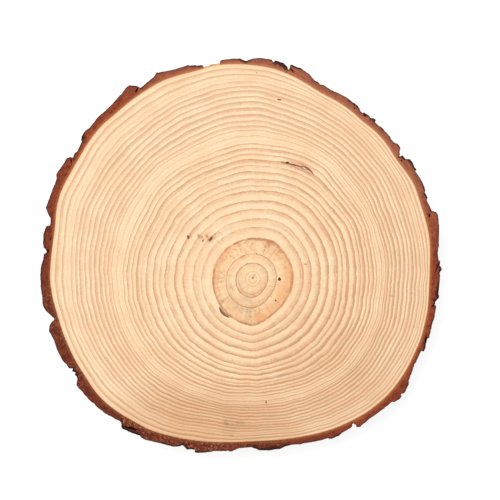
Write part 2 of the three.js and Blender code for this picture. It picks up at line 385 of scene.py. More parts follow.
YEARS = (
    Years(RoundCurve((14.8, 15.1, 15.4, 15.6, 15.6, 15.6, 15.6, 15.7, 15.7, 15.8, 16.1, 16.4,
                      16.6, 17.1, 17.6, 18.1, 18.3, 18.3, 18.1, 17.2, 16.0, 15.0, 14.7, 14.7)),
          ((0.63, 0.3), (1.0, 0.4))),
    Years(RoundCurve((24.9, 25.1, 25.2, 25.3, 26.3, 25.6, 25.1, 24.8, 24.5, 24.6, 24.6, 24.7,
                      24.8, 25.1, 25.6, 26.2, 27.1, 27.9, 28.8, 26.9, 25.1, 24.5, 24.1, 24.5)),
          ((1.0, 0.35),)),
    Years(RoundCurve((53.1, 54.1, 55.1, 56.0, 56.8, 56.3, 55.2, 54.5, 54.7, 54.3, 54.1, 54.8,
                      55.0, 54.8, 54.7, 54.8, 54.4, 54.6, 55.0, 54.1, 54.0, 54.1, 53.9, 53.4)),
          ((0.24, 0.45), (0.42, 0.5), (0.62, 0.6), (0.8, 0.75), (1.0, 0.6))),
    Years(RoundCurve((64.7, 65.3, 67.1, 66.8, 67.8, 67.8, 67.2, 66.1, 66.3, 66.1, 65.5, 66.4,
                      66.9, 66.6, 66.8, 65.6, 64.1, 64.1, 63.6, 63.4, 64.9, 65.7, 65.9, 65.2)),
          ((0.28, 0.55), (0.62, 0.85), (1.0, 0.75))),
    Years(RoundCurve((75.4, 75.8, 78.1, 79.0, 82.3, 82.2, 81.3, 79.9, 80.8, 80.4, 78.8, 78.4,
                      78.6, 78.8, 77.6, 76.6, 74.8, 72.8, 71.7, 71.8, 73.6, 75.7, 75.9, 75.9)),
          ((0.26, 0.5), (0.52, 1.0), (0.75, 0.75), (1.0, 0.85))),
    Years(RoundCurve((85.0, 86.4, 87.3, 89.4, 92.1, 94.3, 96.0, 94.9, 93.3, 93.2, 93.0, 91.4,
                      90.4, 89.9, 88.8, 87.3, 84.4, 82.1, 80.8, 81.6, 83.1, 85.0, 85.9, 85.3)),
          ((0.2, 0.75), (0.36, 0.25), (0.55, 0.5), (0.66, 0.3), (0.81, 0.8), (1.0, 0.9))),
    Years(RoundCurve((95.2, 97.2, 98.8, 101.6, 104.7, 106.9, 110.9, 109.9, 108.1, 106.0, 106.1, 103.8,
                      102.1, 100.9, 99.3, 97.8, 93.3, 88.8, 88.4, 89.4, 91.8, 94.4, 94.9, 95.6)),
          ((0.21, 0.9), (0.47, 1.1), (0.74, 1.0), (1.0, 1.0))),
    Years(RoundCurve((105.0, 106.4, 108.9, 111.4, 115.6, 119.1, 123.3, 123.4, 120.9, 120.6, 118.6, 116.0,
                      113.8, 112.4, 110.2, 107.2, 102.4, 97.1, 95.4, 96.7, 100.0, 103.0, 104.4, 105.1)),
          ((0.25, 0.95), (0.54, 1.05), (0.76, 1.1), (1.0, 0.7))),
    Years(None, ((0.21, 0.4), (0.45, 1.0), (0.77, 0.9), (1.0, 0.45))),
)


class GrowthRings:
    """Where each year's wood ends, from the pith out to the wood's edge."""

    # Two layers of waver: how far in millimetres, and how many grains fit in the angle of one radian
    WAVERS = ((0.9, 4.0), (0.55, 11.0))
    WAVER_DRIFT = 0.1
    # The rings' waver grows up to this year, and fades over the last years before the wood's edge
    FREE_YEAR = 14.0
    TIED_YEARS = 1.6
    # A year's points end this share of its width past the measured ring, which is its darkest wood
    LINE_INSET = 0.05

    def __init__(self, edge: CadSurface, middle_height: float) -> None:
        """Keeps the surface that gives the wood's edge.

        Args:
            edge: The CAD node of the wood.
            middle_height: A height at which its side is whole.
        """
        self.edge = edge
        self.middle_height = middle_height
        self.darkness = [line for run in YEARS for _, line in run.lines]
        self.count = len(self.darkness)

    @functools.lru_cache(maxsize=None)
    def ends_mm(self, angle: float) -> tuple[float, ...]:
        """Finds where each year ends.

        Args:
            angle: Degrees round the pith.

        Returns:
            The radii in millimetres, from the pith's 0 out to the wood's edge.
        """
        ends = [0.0]
        edge_mm = self.edge.radius_from_outside(angle, self.middle_height) / MM
        for run in YEARS:
            inner = ends[-1]
            outer = run.end.radius_mm(angle) if run.end else edge_mm
            ends += [mix(inner, outer, share) for share, _ in run.lines]
        placed = [0.0]
        for year in range(1, self.count):
            inset = self.LINE_INSET * (ends[year] - ends[year - 1])
            placed.append(ends[year] + inset + self._waver_mm(year, angle))
        return (*placed, edge_mm)

    def _waver_mm(self, year: int, angle: float) -> float:
        """Finds how far a ring stands out of its curve: least near the pith and at the wood's edge.

        Args:
            year: The ring's number.
            angle: Degrees round the pith.

        Returns:
            Millimetres outwards.
        """
        tied = smooth_step(self.count, self.count - self.TIED_YEARS, year)
        freedom = smooth_step(0.0, self.FREE_YEAR, year) * tied
        drift = Vector((0.0, 0.0, year * self.WAVER_DRIFT))
        return freedom * sum(reach * noise.noise(heading(angle) * grain + drift)
                             for reach, grain in self.WAVERS)

    def radius(self, year: float, angle: float) -> float:
        """Finds a place in a year's wood.

        Args:
            year: Years from the pith, with the part of the year that has passed.
            angle: Degrees round the pith.

        Returns:
            The radius in metres.
        """
        ends = self.ends_mm(angle)
        whole = min(int(year + MERGE_DISTANCE), self.count - 1)
        return mix(ends[whole], ends[whole + 1], year - whole) * MM


@dataclass(frozen=True)
class Opening:
    """A lens-shaped opening cut down into the upper sawn face.

    Attributes:
        start: Angle and radius in millimetres of one end.
        end: Angle and radius in millimetres of the other end.
        inner_mm: How far the side towards the pith bows outwards.
        outer_mm: How far the other side bows outwards.
        inner_depth_mm: Depth along the side towards the pith.
        outer_depth_mm: Depth along the other side.
        ragged_mm: How unevenly its sides run.
        skew: How far its broadest part lies towards its start.
    """

    start: tuple[float, float]
    end: tuple[float, float]
    inner_mm: float
    outer_mm: float
    inner_depth_mm: float
    outer_depth_mm: float
    ragged_mm: float = 0.15
    skew: float = 0.0

    SIDES = 40
    ABOVE = 1.0 * MM
    RAGGED_GRAIN_MM = 1.3

    def cut_from(self, work: bmesh.types.BMesh, top: float) -> None:
        """Adds the solid that takes this opening out of the wood or the bark.

        Args:
            work: The mesh that gathers such solids.
            top: Height of the upper sawn face.
        """
        start = place(self.start[0], self.start[1] * MM)
        end = place(self.end[0], self.end[1] * MM)
        middle = (start + end) / 2.0
        outward = (end - start).cross(Vector((0.0, 0.0, 1.0))).normalized()
        if outward.dot(middle - PITH) < 0.0:
            outward.negate()
        made = bmesh.ops.create_circle(work, cap_ends=True, segments=self.SIDES, radius=1.0)["verts"]
        lid = made[0].link_faces[0]
        for vert in made:
            along, across = vert.co.x, vert.co.y
            width = (1.0 - along * along) * (1.0 - self.skew * along)
            bow = (self.outer_mm if across > 0.0 else self.inner_mm) * width * MM
            spot = mix(start.x, end.x, (along + 1.0) / 2.0), mix(start.y, end.y, (along + 1.0) / 2.0), 0.0
            vert.co = Vector(spot) + outward * bow
            uneven = noise.noise(vert.co / (self.RAGGED_GRAIN_MM * MM)) * self.ragged_mm * MM
            vert.co += outward * uneven * (1.0 - abs(along))
            vert.co.z = top - (self.outer_depth_mm if across > 0.0 else self.inner_depth_mm) * MM
        raised = bmesh.ops.extrude_face_region(work, geom=[lid])["geom"]
        for vert in (item for item in raised if isinstance(item, bmesh.types.BMVert)):
            vert.co.z = top + self.ABOVE


def cut(piece: bpy.types.Object, openings: tuple[Opening, ...], top: float,
        lining: bpy.types.Material) -> None:
    """Cuts openings into a piece and lines them.

    Args:
        piece: The piece, already in place.
        openings: What is cut out.
        top: Height of the upper sawn face.
        lining: The material of the new walls.
    """
    cutters = []
    for opening in openings:
        work = bmesh.new()
        opening.cut_from(work, top)
        bmesh.ops.recalc_face_normals(work, faces=work.faces)
        cutter = as_piece(work, "cutter", lining)
        change = piece.modifiers.new("opening", "BOOLEAN")
        change.operation = "DIFFERENCE"
        change.solver = "MANIFOLD"
        change.material_mode = "TRANSFER"
        change.object = cutter
        cutters.append(cutter)
    bpy.context.view_layer.update()
    result = bpy.data.meshes.new_from_object(piece.evaluated_get(bpy.context.evaluated_depsgraph_get()))
    piece.modifiers.clear()
    old = piece.data
    piece.data = result
    for mesh in (old, *[cutter.data for cutter in cutters]):
        bpy.data.meshes.remove(mesh)


def turned_mesh(rows: list[dict[str, float]], segments: int, cuts: int) -> bmesh.types.BMesh:
    """Spins an open or closed section a whole turn round the origin's Z axis.

    Args:
        rows: The section's points: "radius" and "height" in metres, and any other numbers that they carry.
        segments: Steps of the spin.
        cuts: Further cuts in each step.

    Returns:
        The mesh, with each number on its vertices in a layer of that name.
    """
    def runs_round(edge: bmesh.types.BMEdge) -> bool:
        """Tells whether an edge is a step of the spin, away from its axis.

        Args:
            edge: An edge of the spun mesh.

        Returns:
            True where its ends are equally high and equally far from the axis.
        """
        first, last = (vert.co for vert in edge.verts)
        level = abs(first.z - last.z) < MERGE_DISTANCE
        alike = abs(first.xy.length - last.xy.length) < MERGE_DISTANCE
        return level and alike and first.xy.length > MERGE_DISTANCE

    work = bmesh.new()
    layers = {name: work.verts.layers.float.new(name) for name in rows[0] if name not in ("radius", "height")}
    section = []
    for row in rows:
        vert = work.verts.new((row["radius"], 0.0, row["height"]))
        for name, layer in layers.items():
            vert[layer] = row[name]
        section.append(vert)
    closing = [(section[-1], section[0])] if rows[0]["radius"] > 0.0 else []
    edges = [work.edges.new(pair) for pair in [*zip(section, section[1:]), *closing]]
    bmesh.ops.spin(work, geom=[*section, *edges], cent=(0, 0, 0), axis=(0, 0, 1), dvec=(0, 0, 0),
                   angle=2.0 * math.pi, steps=segments, use_merge=True)
    bmesh.ops.remove_doubles(work, verts=work.verts, dist=MERGE_DISTANCE)
    round_edges = [edge for edge in work.edges if runs_round(edge)]
    bmesh.ops.subdivide_edges(work, edges=round_edges, cuts=cuts, use_grid_fill=True)
    bmesh.ops.recalc_face_normals(work, faces=work.faces)
    return work


def as_piece(work: bmesh.types.BMesh, name: str, material: bpy.types.Material) -> bpy.types.Object:
    """Makes an object of a finished mesh and frees it.

    Args:
        work: The mesh, in place.
        name: The piece's name.
        material: Its main material.

    Returns:
        The object, at the origin.
    """
    mesh = bpy.data.meshes.new(name)
    work.to_mesh(mesh)
    work.free()
    mesh.materials.append(material)
    piece = bpy.data.objects.new(name, mesh)
    bpy.context.scene.collection.objects.link(piece)
    return piece


def shade(piece: bpy.types.Object) -> None:
    """Shades a piece smoothly, with its sharp edges kept."""
    piece.data.shade_smooth()
    piece.data.set_sharp_from_angle(angle=SHARP_ANGLE)


class Tone(Enum):
    """What a mark on the sawn wood looks like: its colour as seen. A later tone lies over an earlier one."""

    ROSE = tint(220, 172, 144)
    AMBER = tint(234, 170, 116)
    BROWN = tint(180, 112, 74)
    GREY = tint(150, 122, 94)
    DARK = tint(92, 54, 32)
    PALE = tint(255, 234, 212)
    # Painted shade, multiplied over the wood's colour
    PAINTED_SHADE = tint(238, 224, 212)


@dataclass(frozen=True)
class Mark:
    """A stain, speck or patch on the sawn wood, or a patch of painted shade.

    Attributes:
        tone: Its colour.
        angle: Where it lies round the pith, in degrees.
        radius_mm: How far from the pith.
        long_mm: Half its length.
        wide_mm: Half its width.
        lean: Degrees by which its length turns from the rings' direction.
        strength: How strong it is, from 0 to 1.
        soft: How far its edge fades, from 0 for a crisp one to 1.
    """

    tone: Tone
    angle: float
    radius_mm: float
    long_mm: float
    wide_mm: float
    lean: float = 0.0
    strength: float = 0.8
    soft: float = 0.5


MARKS = (
    # The knotty streak in the upper left, and the specks that trail from it
    Mark(Tone.BROWN, 136.0, 36.3, 2.5, 1.1, 8.0, 1.0, 0.6),
    Mark(Tone.DARK, 136.6, 36.3, 1.5, 0.7, 8.0, 0.9, 0.7),
    Mark(Tone.BROWN, 131.0, 36.4, 1.9, 0.5, 0.0, 0.65, 0.8),
    Mark(Tone.BROWN, 138.3, 37.2, 1.4, 0.9, 30.0, 0.55, 1.0),
    Mark(Tone.BROWN, 132.9, 34.9, 1.1, 0.7, 0.0, 0.4, 1.0),
    Mark(Tone.BROWN, 136.9, 39.1, 1.3, 0.9, 60.0, 0.75, 0.8),
    Mark(Tone.DARK, 142.4, 39.3, 0.85, 0.65, 0.0, 0.9, 0.6),
    Mark(Tone.GREY, 141.6, 43.0, 1.6, 1.0, 60.0, 0.6, 0.9),
    Mark(Tone.GREY, 140.8, 41.3, 1.1, 0.8, 60.0, 0.5, 0.9),
    Mark(Tone.AMBER, 138.0, 39.5, 4.6, 3.4, 0.0, 0.3, 1.0),
    Mark(Tone.DARK, 147.1, 48.1, 1.3, 0.95, 50.0, 0.95, 0.6),
    Mark(Tone.BROWN, 144.9, 47.4, 1.5, 0.7, 60.0, 0.5, 0.9),
    Mark(Tone.AMBER, 148.5, 47.6, 1.6, 0.8, 60.0, 0.5, 1.0),
    Mark(Tone.BROWN, 127.1, 31.4, 0.9, 0.6, 0.0, 0.45, 0.9),
    Mark(Tone.GREY, 133.1, 32.7, 0.7, 0.4, 0.0, 0.4, 0.9),
    Mark(Tone.GREY, 126.5, 35.6, 1.2, 0.4, 0.0, 0.35, 0.9),
    Mark(Tone.BROWN, 113.9, 31.4, 1.4, 0.45, -10.0, 0.45, 0.8),
    Mark(Tone.AMBER, 106.7, 29.9, 2.2, 1.2, 0.0, 0.35, 1.0),
    # Patches on the heartwood's edge and in its outer years
    Mark(Tone.BROWN, 116.0, 24.5, 1.6, 0.6, -8.0, 0.7, 0.8),
    Mark(Tone.BROWN, 129.5, 24.9, 2.2, 0.6, 0.0, 0.55, 0.9),
    Mark(Tone.BROWN, 84.0, 24.9, 6.0, 0.8, 0.0, 0.55, 1.0),
    Mark(Tone.BROWN, 63.5, 25.0, 3.4, 1.3, 12.0, 0.55, 1.0),
    Mark(Tone.BROWN, 65.0, 23.2, 2.2, 0.7, 80.0, 0.4, 1.0),
    Mark(Tone.BROWN, 45.0, 24.4, 2.0, 1.0, 10.0, 0.5, 1.0),
    Mark(Tone.BROWN, 180.0, 24.3, 9.0, 0.7, 0.0, 0.45, 1.0),
    Mark(Tone.BROWN, 354.0, 24.4, 7.0, 0.8, 0.0, 0.45, 1.0),
    Mark(Tone.BROWN, 258.0, 28.3, 4.0, 0.6, 0.0, 0.5, 1.0),
    Mark(Tone.AMBER, 280.5, 24.2, 4.6, 2.6, 0.0, 0.85, 1.0),
    Mark(Tone.AMBER, 252.0, 26.5, 3.6, 1.4, 0.0, 0.5, 1.0),
    Mark(Tone.AMBER, 4.0, 22.2, 10.0, 3.0, 0.0, 0.55, 1.0),
    Mark(Tone.AMBER, 338.0, 21.0, 7.5, 3.6, 0.0, 0.6, 1.0),
    Mark(Tone.AMBER, 306.0, 21.5, 7.0, 3.2, 0.0, 0.45, 1.0),
    Mark(Tone.AMBER, 175.0, 22.8, 8.0, 2.0, 0.0, 0.45, 1.0),
    Mark(Tone.AMBER, 140.0, 23.0, 8.0, 2.2, 0.0, 0.45, 1.0),
    Mark(Tone.AMBER, 45.0, 21.5, 6.0, 3.0, 0.0, 0.3, 1.0),
    Mark(Tone.BROWN, 114.5, 15.3, 2.4, 0.55, 8.0, 0.5, 0.9),
    Mark(Tone.AMBER, 114.0, 14.6, 2.8, 1.0, 0.0, 0.5, 1.0),
    Mark(Tone.AMBER, 257.0, 10.9, 4.0, 0.9, 0.0, 0.5, 1.0),
    Mark(Tone.GREY, 193.6, 14.3, 0.6, 0.5, 0.0, 0.4, 0.9),
    Mark(Tone.BROWN, 203.0, 14.4, 1.5, 0.9, 20.0, 0.4, 1.0),
    Mark(Tone.GREY, 254.3, 13.4, 3.8, 1.6, 0.0, 0.28, 1.0),
    Mark(Tone.GREY, 262.0, 20.5, 7.5, 3.2, 0.0, 0.2, 1.0),
    Mark(Tone.GREY, 228.0, 19.5, 6.0, 3.0, 0.0, 0.16, 1.0),
    # Specks and pinholes
    Mark(Tone.DARK, 316.9, 19.6, 0.6, 0.45, 30.0, 0.95, 0.5),
    Mark(Tone.DARK, 81.6, 15.9, 0.55, 0.45, 0.0, 0.8, 0.6),
    Mark(Tone.GREY, 24.4, 10.1, 0.5, 0.4, 0.0, 0.7, 0.8),
    Mark(Tone.GREY, 110.4, 10.4, 0.6, 0.4, 0.0, 0.55, 0.8),
    Mark(Tone.GREY, 100.2, 9.9, 0.5, 0.35, 0.0, 0.4, 0.8),
    Mark(Tone.BROWN, 37.7, 13.2, 0.8, 0.35, 60.0, 0.5, 0.8),
    Mark(Tone.DARK, 15.5, 34.3, 1.1, 0.4, 75.0, 0.55, 0.7),
    Mark(Tone.DARK, 276.2, 77.5, 0.55, 1.0, 0.0, 0.9, 0.6),
    Mark(Tone.DARK, 81.6, 113.2, 1.5, 0.45, 4.0, 0.9, 0.5),
    Mark(Tone.BROWN, 353.0, 88.0, 2.0, 0.4, 90.0, 0.4, 0.8),
    Mark(Tone.BROWN, 343.5, 105.0, 0.8, 0.5, 0.0, 0.5, 0.8),
    Mark(Tone.BROWN, 259.0, 90.5, 1.6, 0.4, 80.0, 0.4, 0.8),
    Mark(Tone.GREY, 261.0, 93.0, 5.0, 5.6, 0.0, 0.12, 1.0),
    Mark(Tone.DARK, 88.9, 128.8, 0.6, 0.5, 0.0, 0.6, 0.8),
    Mark(Tone.GREY, 259.6, 91.9, 1.6, 1.1, 0.0, 0.5, 1.0),
    Mark(Tone.GREY, 264.8, 90.2, 3.0, 1.2, 0.0, 0.35, 1.0),
    Mark(Tone.BROWN, 262.2, 99.0, 1.3, 0.5, 0.0, 0.6, 0.8),
    Mark(Tone.BROWN, 354.8, 100.0, 0.4, 1.4, 0.0, 0.4, 0.9),
    # Round the pocket, and the splinter of wood that stands in it
    Mark(Tone.ROSE, 66.5, 76.3, 9.2, 2.2, -4.0, 0.9, 0.5),
    Mark(Tone.BROWN, 66.8, 74.4, 5.2, 0.4, -4.0, 0.5, 0.9),
    Mark(Tone.BROWN, 65.8, 77.8, 3.6, 0.7, -4.0, 0.5, 1.0),
    Mark(Tone.BROWN, 75.2, 75.2, 1.8, 0.8, 0.0, 0.8, 0.8),
    Mark(Tone.AMBER, 68.0, 78.8, 6.0, 1.2, 0.0, 0.4, 1.0),
    Mark(Tone.BROWN, 62.2, 74.6, 2.6, 0.4, -3.0, 0.5, 0.9),
    Mark(Tone.PALE, 64.9, 76.4, 1.3, 0.75, -6.0, 1.0, 0.5),
    # Painted shade: the wood is darkened towards the lower edge
    Mark(Tone.PAINTED_SHADE, 258.0, 104.0, 62.0, 30.0, 0.0, 1.0, 1.0),
    Mark(Tone.PAINTED_SHADE, 300.0, 78.0, 46.0, 46.0, 0.0, 0.35, 1.0),
    # The pith
    Mark(Tone.BROWN, 85.0, 0.75, 0.9, 0.75, 0.0, 0.95, 0.7),
    Mark(Tone.GREY, 62.0, 2.3, 1.5, 0.4, 90.0, 0.45, 1.0),
)


@dataclass(frozen=True)
class WoodFinish:
    """Sawn and sanded softwood: pale years that darken outwards, round an orange-brown heartwood."""

    early: tuple[float, ...] = tint(248, 217, 178)
    early_warm: tuple[float, ...] = tint(245, 207, 166)
    late: tuple[float, ...] = tint(202, 158, 116)
    late_pink: tuple[float, ...] = tint(216, 160, 118)
    late_faded: tuple[float, ...] = tint(224, 188, 156)
    faded_mm: tuple[float, float] = (74.0, 108.0)
    heart: tuple[float, ...] = tint(254, 251, 244)
    heart_shade: tuple[float, ...] = tint(247, 230, 208)
    heart_pale: tuple[float, ...] = tint(252, 226, 192)
    heart_line: tuple[float, ...] = tint(190, 126, 84)
    thin_line: tuple[float, ...] = tint(162, 110, 72)
    # The lines are weakest across from this side, and strongest on it
    dark_side: float = 315.0
    side_strength: tuple[float, float] = (0.8, 1.3)
    # How far the years' ends stray, in years, and less so in the calm years round the pith
    straying: float = 0.26
    calm_years: tuple[float, float] = (2.0, 6.0)
    calm_share: float = 0.12
    # The parts of a year in which its last wood comes on and ends
    closing_phase: tuple[float, float] = (0.78, 0.92)
    ending_phase: tuple[float, float] = (1.0, 0.965)
    false_line_phase: tuple[float, float] = (0.45, 0.72)
    false_line_width: tuple[float, float] = (0.1, 0.02)
    false_line_strength: float = 0.42
    # How strong the streaks along the rings, the dashes across them and the fine grain are
    streaks: float = 0.85
    dashes: float = 0.6
    grain: float = 0.65
    heart_years: float = 3.0
    ring_gap_mm: float = 3.6
    # The second line inside the first year's end: its year, and its width in years
    second_line_year: float = 0.8
    second_line_width: tuple[float, float] = (0.05, 0.01)
    pith_rings_mm: tuple[float, ...] = (2.6, 4.6)
    pith_ring_width_mm: tuple[float, float] = (0.5, 0.1)
    # How far the marks' outlines stray, and how far a soft mark fades inwards and outwards
    mark_straying_mm: float = 1.2
    fade_inwards: float = 0.9
    fade_outwards: float = 0.4
    grain_depth: float = 0.06 * MM
    roughness: tuple[float, float] = (0.5, 0.74)
    gloss: float = 0.25

    # The noise that each layer of the finish is drawn with
    BUMPS = Grain(3.0, 3.0, 0.6)
    SHEEN = Grain(0.8)
    STRAYS = Grain(0.45, 3.0, 0.6)
    DASHES = Grain(1.35, 2.0, 0.6)
    DRIFT = Grain(1.0, 4.0, 0.6)
    LINES = Grain(1.0, 4.0, 0.65)
    PATCHES = Grain(1.0, 3.0)
    STREAKS = Grain(1.0, 3.0, 0.6)
    GRAIN = Grain(1.2, 2.0, 0.6)
    WARMTH = Grain(0.05, 4.0)
    MOTTLE = Grain(0.35, 4.0, 0.65)
    PALE_SPOTS = Grain(0.9, 3.0, 0.7)
    PORES = Grain(1.7, 3.0, 0.7)
    MARK_EDGES = Grain(0.9, 3.0)

    def build(self) -> bpy.types.Material:
        """Makes the material.

        Returns:
            The finished material.
        """
        sketch = Sketch("sawn_wood")
        spot = sketch.from_pith()
        flat = sketch.vector("MULTIPLY", spot, (1.0, 1.0, 0.0))
        direction = sketch.vector("NORMALIZE", flat)
        year = self._uneven_year(sketch, spot)
        rays = self._rays(sketch, direction, year)
        colour = self._years(sketch, flat, direction, year, rays)
        colour = self._heartwood(sketch, flat, direction, year, rays, colour)
        wandering = self._wandering(sketch, flat)
        for tone in Tone:
            marks = self._marks(sketch, wandering, [mark for mark in MARKS if mark.tone is tone])
            # Painted shade is multiplied over the colour, and every other tone is laid over it
            join = sketch.multiply if tone is Tone.PAINTED_SHADE else sketch.blend
            colour = join(marks, colour, tone.value)
        sketch.bump(sketch.noise(spot, self.BUMPS), self.grain_depth)
        roughness = sketch.spread(sketch.noise(spot, self.SHEEN), *self.roughness)
        return sketch.finish(colour, roughness, self.gloss)

    def _uneven_year(self, sketch: Sketch, spot: bpy.types.NodeSocket) -> bpy.types.NodeSocket:
        """Makes the year's number on the mesh slightly uneven.

        Args:
            sketch: The material's nodes.
            spot: The place from the pith.

        Returns:
            The year's number, with the part of the year that has passed.
        """
        year = sketch.attribute("year")
        wander = sketch.swing(sketch.noise(spot, self.STRAYS), self.straying)
        freedom = sketch.spread(sketch.rise(year, *self.calm_years), self.calm_share, 1.0)
        return sketch.maths("MULTIPLY_ADD", wander, freedom, year)

    def _rays(self, sketch: Sketch, direction: bpy.types.NodeSocket,
              year: bpy.types.NodeSocket) -> bpy.types.NodeSocket:
        """Draws fine dashes that point away from the pith, equally fine in every year.

        Args:
            sketch: The material's nodes.
            direction: The way out from the pith.
            year: The year's number.

        Returns:
            How strongly they show, from 0 to 1.
        """
        rounds = sketch.plus(sketch.maths("FLOOR", year), 1.0)
        dash_at = sketch.lifted(direction, sketch.times(rounds, self.ring_gap_mm), year, 0.9)
        return sketch.noise(dash_at, self.DASHES)

    def _years(self, sketch: Sketch, flat: bpy.types.NodeSocket, direction: bpy.types.NodeSocket,
               year: bpy.types.NodeSocket, rays: bpy.types.NodeSocket) -> bpy.types.NodeSocket:
        """Paints each year pale, with a darker end.

        Args:
            sketch: The material's nodes.
            flat: The place from the pith, without its height.
            direction: The way out from the pith.
            year: The year's number.
            rays: The fine dashes.

        Returns:
            The colour.
        """
        phase = sketch.maths("FRACT", year)
        whole = sketch.maths("FLOOR", year)
        chance = sketch.node("ShaderNodeTexWhiteNoise", {"W": whole}, noise_dimensions="1D").outputs["Value"]
        # The darker wood comes on over part of the year, and a thin line closes it
        drift = sketch.noise(sketch.lifted(direction, 4.0, whole, 0.37), self.DRIFT)
        start = sketch.plus(sketch.spread(chance, -0.2, 0.25), sketch.spread(drift, -0.1, 0.4))
        broad = sketch.times(sketch.rise(phase, start, 0.9), 0.8)
        line_at = sketch.lifted(flat, 0.09, whole, 1.7)
        line_drift = sketch.rise(sketch.noise(line_at, self.LINES), 0.32, 0.68)
        closing = sketch.times(sketch.rise(phase, *self.closing_phase), sketch.spread(line_drift, 0.3, 1.0))
        late = sketch.times(sketch.plus(broad, closing), sketch.rise(phase, *self.ending_phase))
        # Thinner lines run within the years and come and go
        false_at = sketch.vector("ADD", line_at, (7.0, 3.0, 5.0))
        false_drift = sketch.rise(sketch.noise(false_at, self.PATCHES), 0.5, 0.66)
        false_gap = sketch.gap(phase, sketch.spread(chance, *self.false_line_phase))
        false_line = sketch.times(sketch.rise(false_gap, *self.false_line_width), false_drift)
        late = sketch.plus(late, sketch.times(false_line, self.false_line_strength))
        strength = sketch.times(sketch.attribute("line"), sketch.spread(drift, 0.5, 1.9))
        towards_dark = sketch.rise(sketch.dot(direction, heading(self.dark_side)), -1.0, 1.0)
        strength = sketch.times(strength, sketch.spread(towards_dark, *self.side_strength))
        share = sketch.times(late, strength)
        # Faint streaks along the rings, and the dashes across them
        streak_at = sketch.lifted(flat, 0.08, year, 4.5)
        streaks = sketch.swing(sketch.noise(streak_at, self.STREAKS), self.streaks)
        dashes = sketch.swing(rays, self.dashes)
        grain = sketch.swing(sketch.noise(flat, self.GRAIN), self.grain)
        share = sketch.plus(share, sketch.plus(streaks, sketch.plus(dashes, grain)))
        share = sketch.node("ShaderNodeClamp", {"Value": share}).outputs[0]
        warmth = sketch.rise(sketch.noise(flat, self.WARMTH), 0.35, 0.65)
        pink = sketch.rise(sketch.noise(sketch.lifted(flat, 0.11, year, 0.8), self.PATCHES), 0.4, 0.6)
        early = sketch.blend(warmth, self.early, self.early_warm)
        late_colour = sketch.blend(pink, self.late, self.late_pink)
        far_out = sketch.rise(sketch.length(flat), *self.faded_mm)
        late_colour = sketch.blend(sketch.times(far_out, 0.35), late_colour, self.late_faded)
        return sketch.blend(share, early, late_colour)

    def _heartwood(self, sketch: Sketch, flat: bpy.types.NodeSocket, direction: bpy.types.NodeSocket,
                   year: bpy.types.NodeSocket, rays: bpy.types.NodeSocket,
                   colour: bpy.types.NodeSocket) -> bpy.types.NodeSocket:
        """Tints the innermost years and draws the dark lines that close them.

        Args:
            sketch: The material's nodes.
            flat: The place from the pith, without its height.
            direction: The way out from the pith.
            year: The year's number.
            rays: The fine dashes.
            colour: The colour so far.

        Returns:
            The colour with its heartwood.
        """
        inside = sketch.rise(year, self.heart_years + 0.02, self.heart_years - 0.06)
        mottle = sketch.rise(sketch.noise(flat, self.MOTTLE), 0.4, 0.64)
        outer_years = sketch.rise(year, 1.85, 2.2)
        heart = sketch.blend(sketch.times(mottle, outer_years), self.heart, self.heart_shade)
        colour = sketch.multiply(inside, colour, heart)
        pale = sketch.rise(sketch.noise(flat, self.PALE_SPOTS), 0.56, 0.68)
        colour = sketch.blend(sketch.times(sketch.times(pale, 0.55), inside), colour, self.heart_pale)
        pores = sketch.plus(sketch.noise(flat, self.PORES), sketch.times(rays, 0.6))
        speckled = sketch.times(sketch.rise(pores, 0.83, 0.97), inside)
        speckled = sketch.times(speckled, sketch.spread(mottle, 0.45, 1.0))
        speckled = sketch.times(speckled, sketch.spread(outer_years, 0.25, 0.75))
        colour = sketch.blend(speckled, colour, self.thin_line)
        # Thin dark lines close the first two years, and a broad one the third
        phase = sketch.maths("FRACT", year)
        along = sketch.noise(sketch.scaled(direction, 3.5), self.DRIFT)
        thin = sketch.times(sketch.rise(phase, 0.9, 0.955), sketch.rise(phase, 1.0, 0.975))
        thin = sketch.times(thin, sketch.rise(year, 2.5, 2.4))
        thin = sketch.times(thin, sketch.spread(sketch.rise(along, 0.35, 0.65), 0.35, 0.75))
        colour = sketch.blend(thin, colour, self.thin_line)
        broad = sketch.times(sketch.rise(year, self.heart_years - 0.16, self.heart_years - 0.03),
                             sketch.rise(year, self.heart_years + 0.06, self.heart_years))
        along_far = sketch.noise(sketch.scaled(direction, 7.0), self.DRIFT)
        broad = sketch.times(broad, sketch.spread(sketch.rise(along_far, 0.38, 0.62), 0.35, 1.0))
        colour = sketch.blend(broad, colour, self.heart_line)
        # A second line inside the first year's end, below the pith, and faint rings close round the pith
        below = sketch.node("ShaderNodeSeparateXYZ", {0: direction})
        downward = sketch.plus(below.outputs["Y"], sketch.times(below.outputs["X"], 0.5))
        gap = sketch.gap(year, self.second_line_year)
        second = sketch.times(sketch.rise(gap, *self.second_line_width), sketch.rise(downward, -0.1, -0.8))
        rings = sketch.times(second, 0.4)
        out = sketch.plus(sketch.length(flat), sketch.times(along, 0.7))
        for ring_mm in self.pith_rings_mm:
            away = sketch.gap(out, ring_mm + 0.35)
            ring = sketch.times(sketch.rise(away, *self.pith_ring_width_mm), 0.3)
            rings = sketch.maths("MAXIMUM", rings, ring)
        return sketch.blend(rings, colour, self.thin_line)

    def _wandering(self, sketch: Sketch, flat: bpy.types.NodeSocket) -> bpy.types.NodeSocket:
        """Shifts the place from the pith a little to and fro, so that marks get uneven edges.

        Args:
            sketch: The material's nodes.
            flat: The place from the pith, without its height.

        Returns:
            The shifted place.
        """
        across = sketch.noise(flat, self.MARK_EDGES)
        along = sketch.noise(sketch.vector("ADD", flat, (31.0, 17.0, 5.0)), self.MARK_EDGES)
        shift = sketch.node("ShaderNodeCombineXYZ", {"X": across, "Y": along, "Z": 0.5}).outputs[0]
        centred = sketch.vector("SUBTRACT", shift, (0.5, 0.5, 0.5))
        return sketch.vector("ADD", flat, sketch.scaled(centred, self.mark_straying_mm))

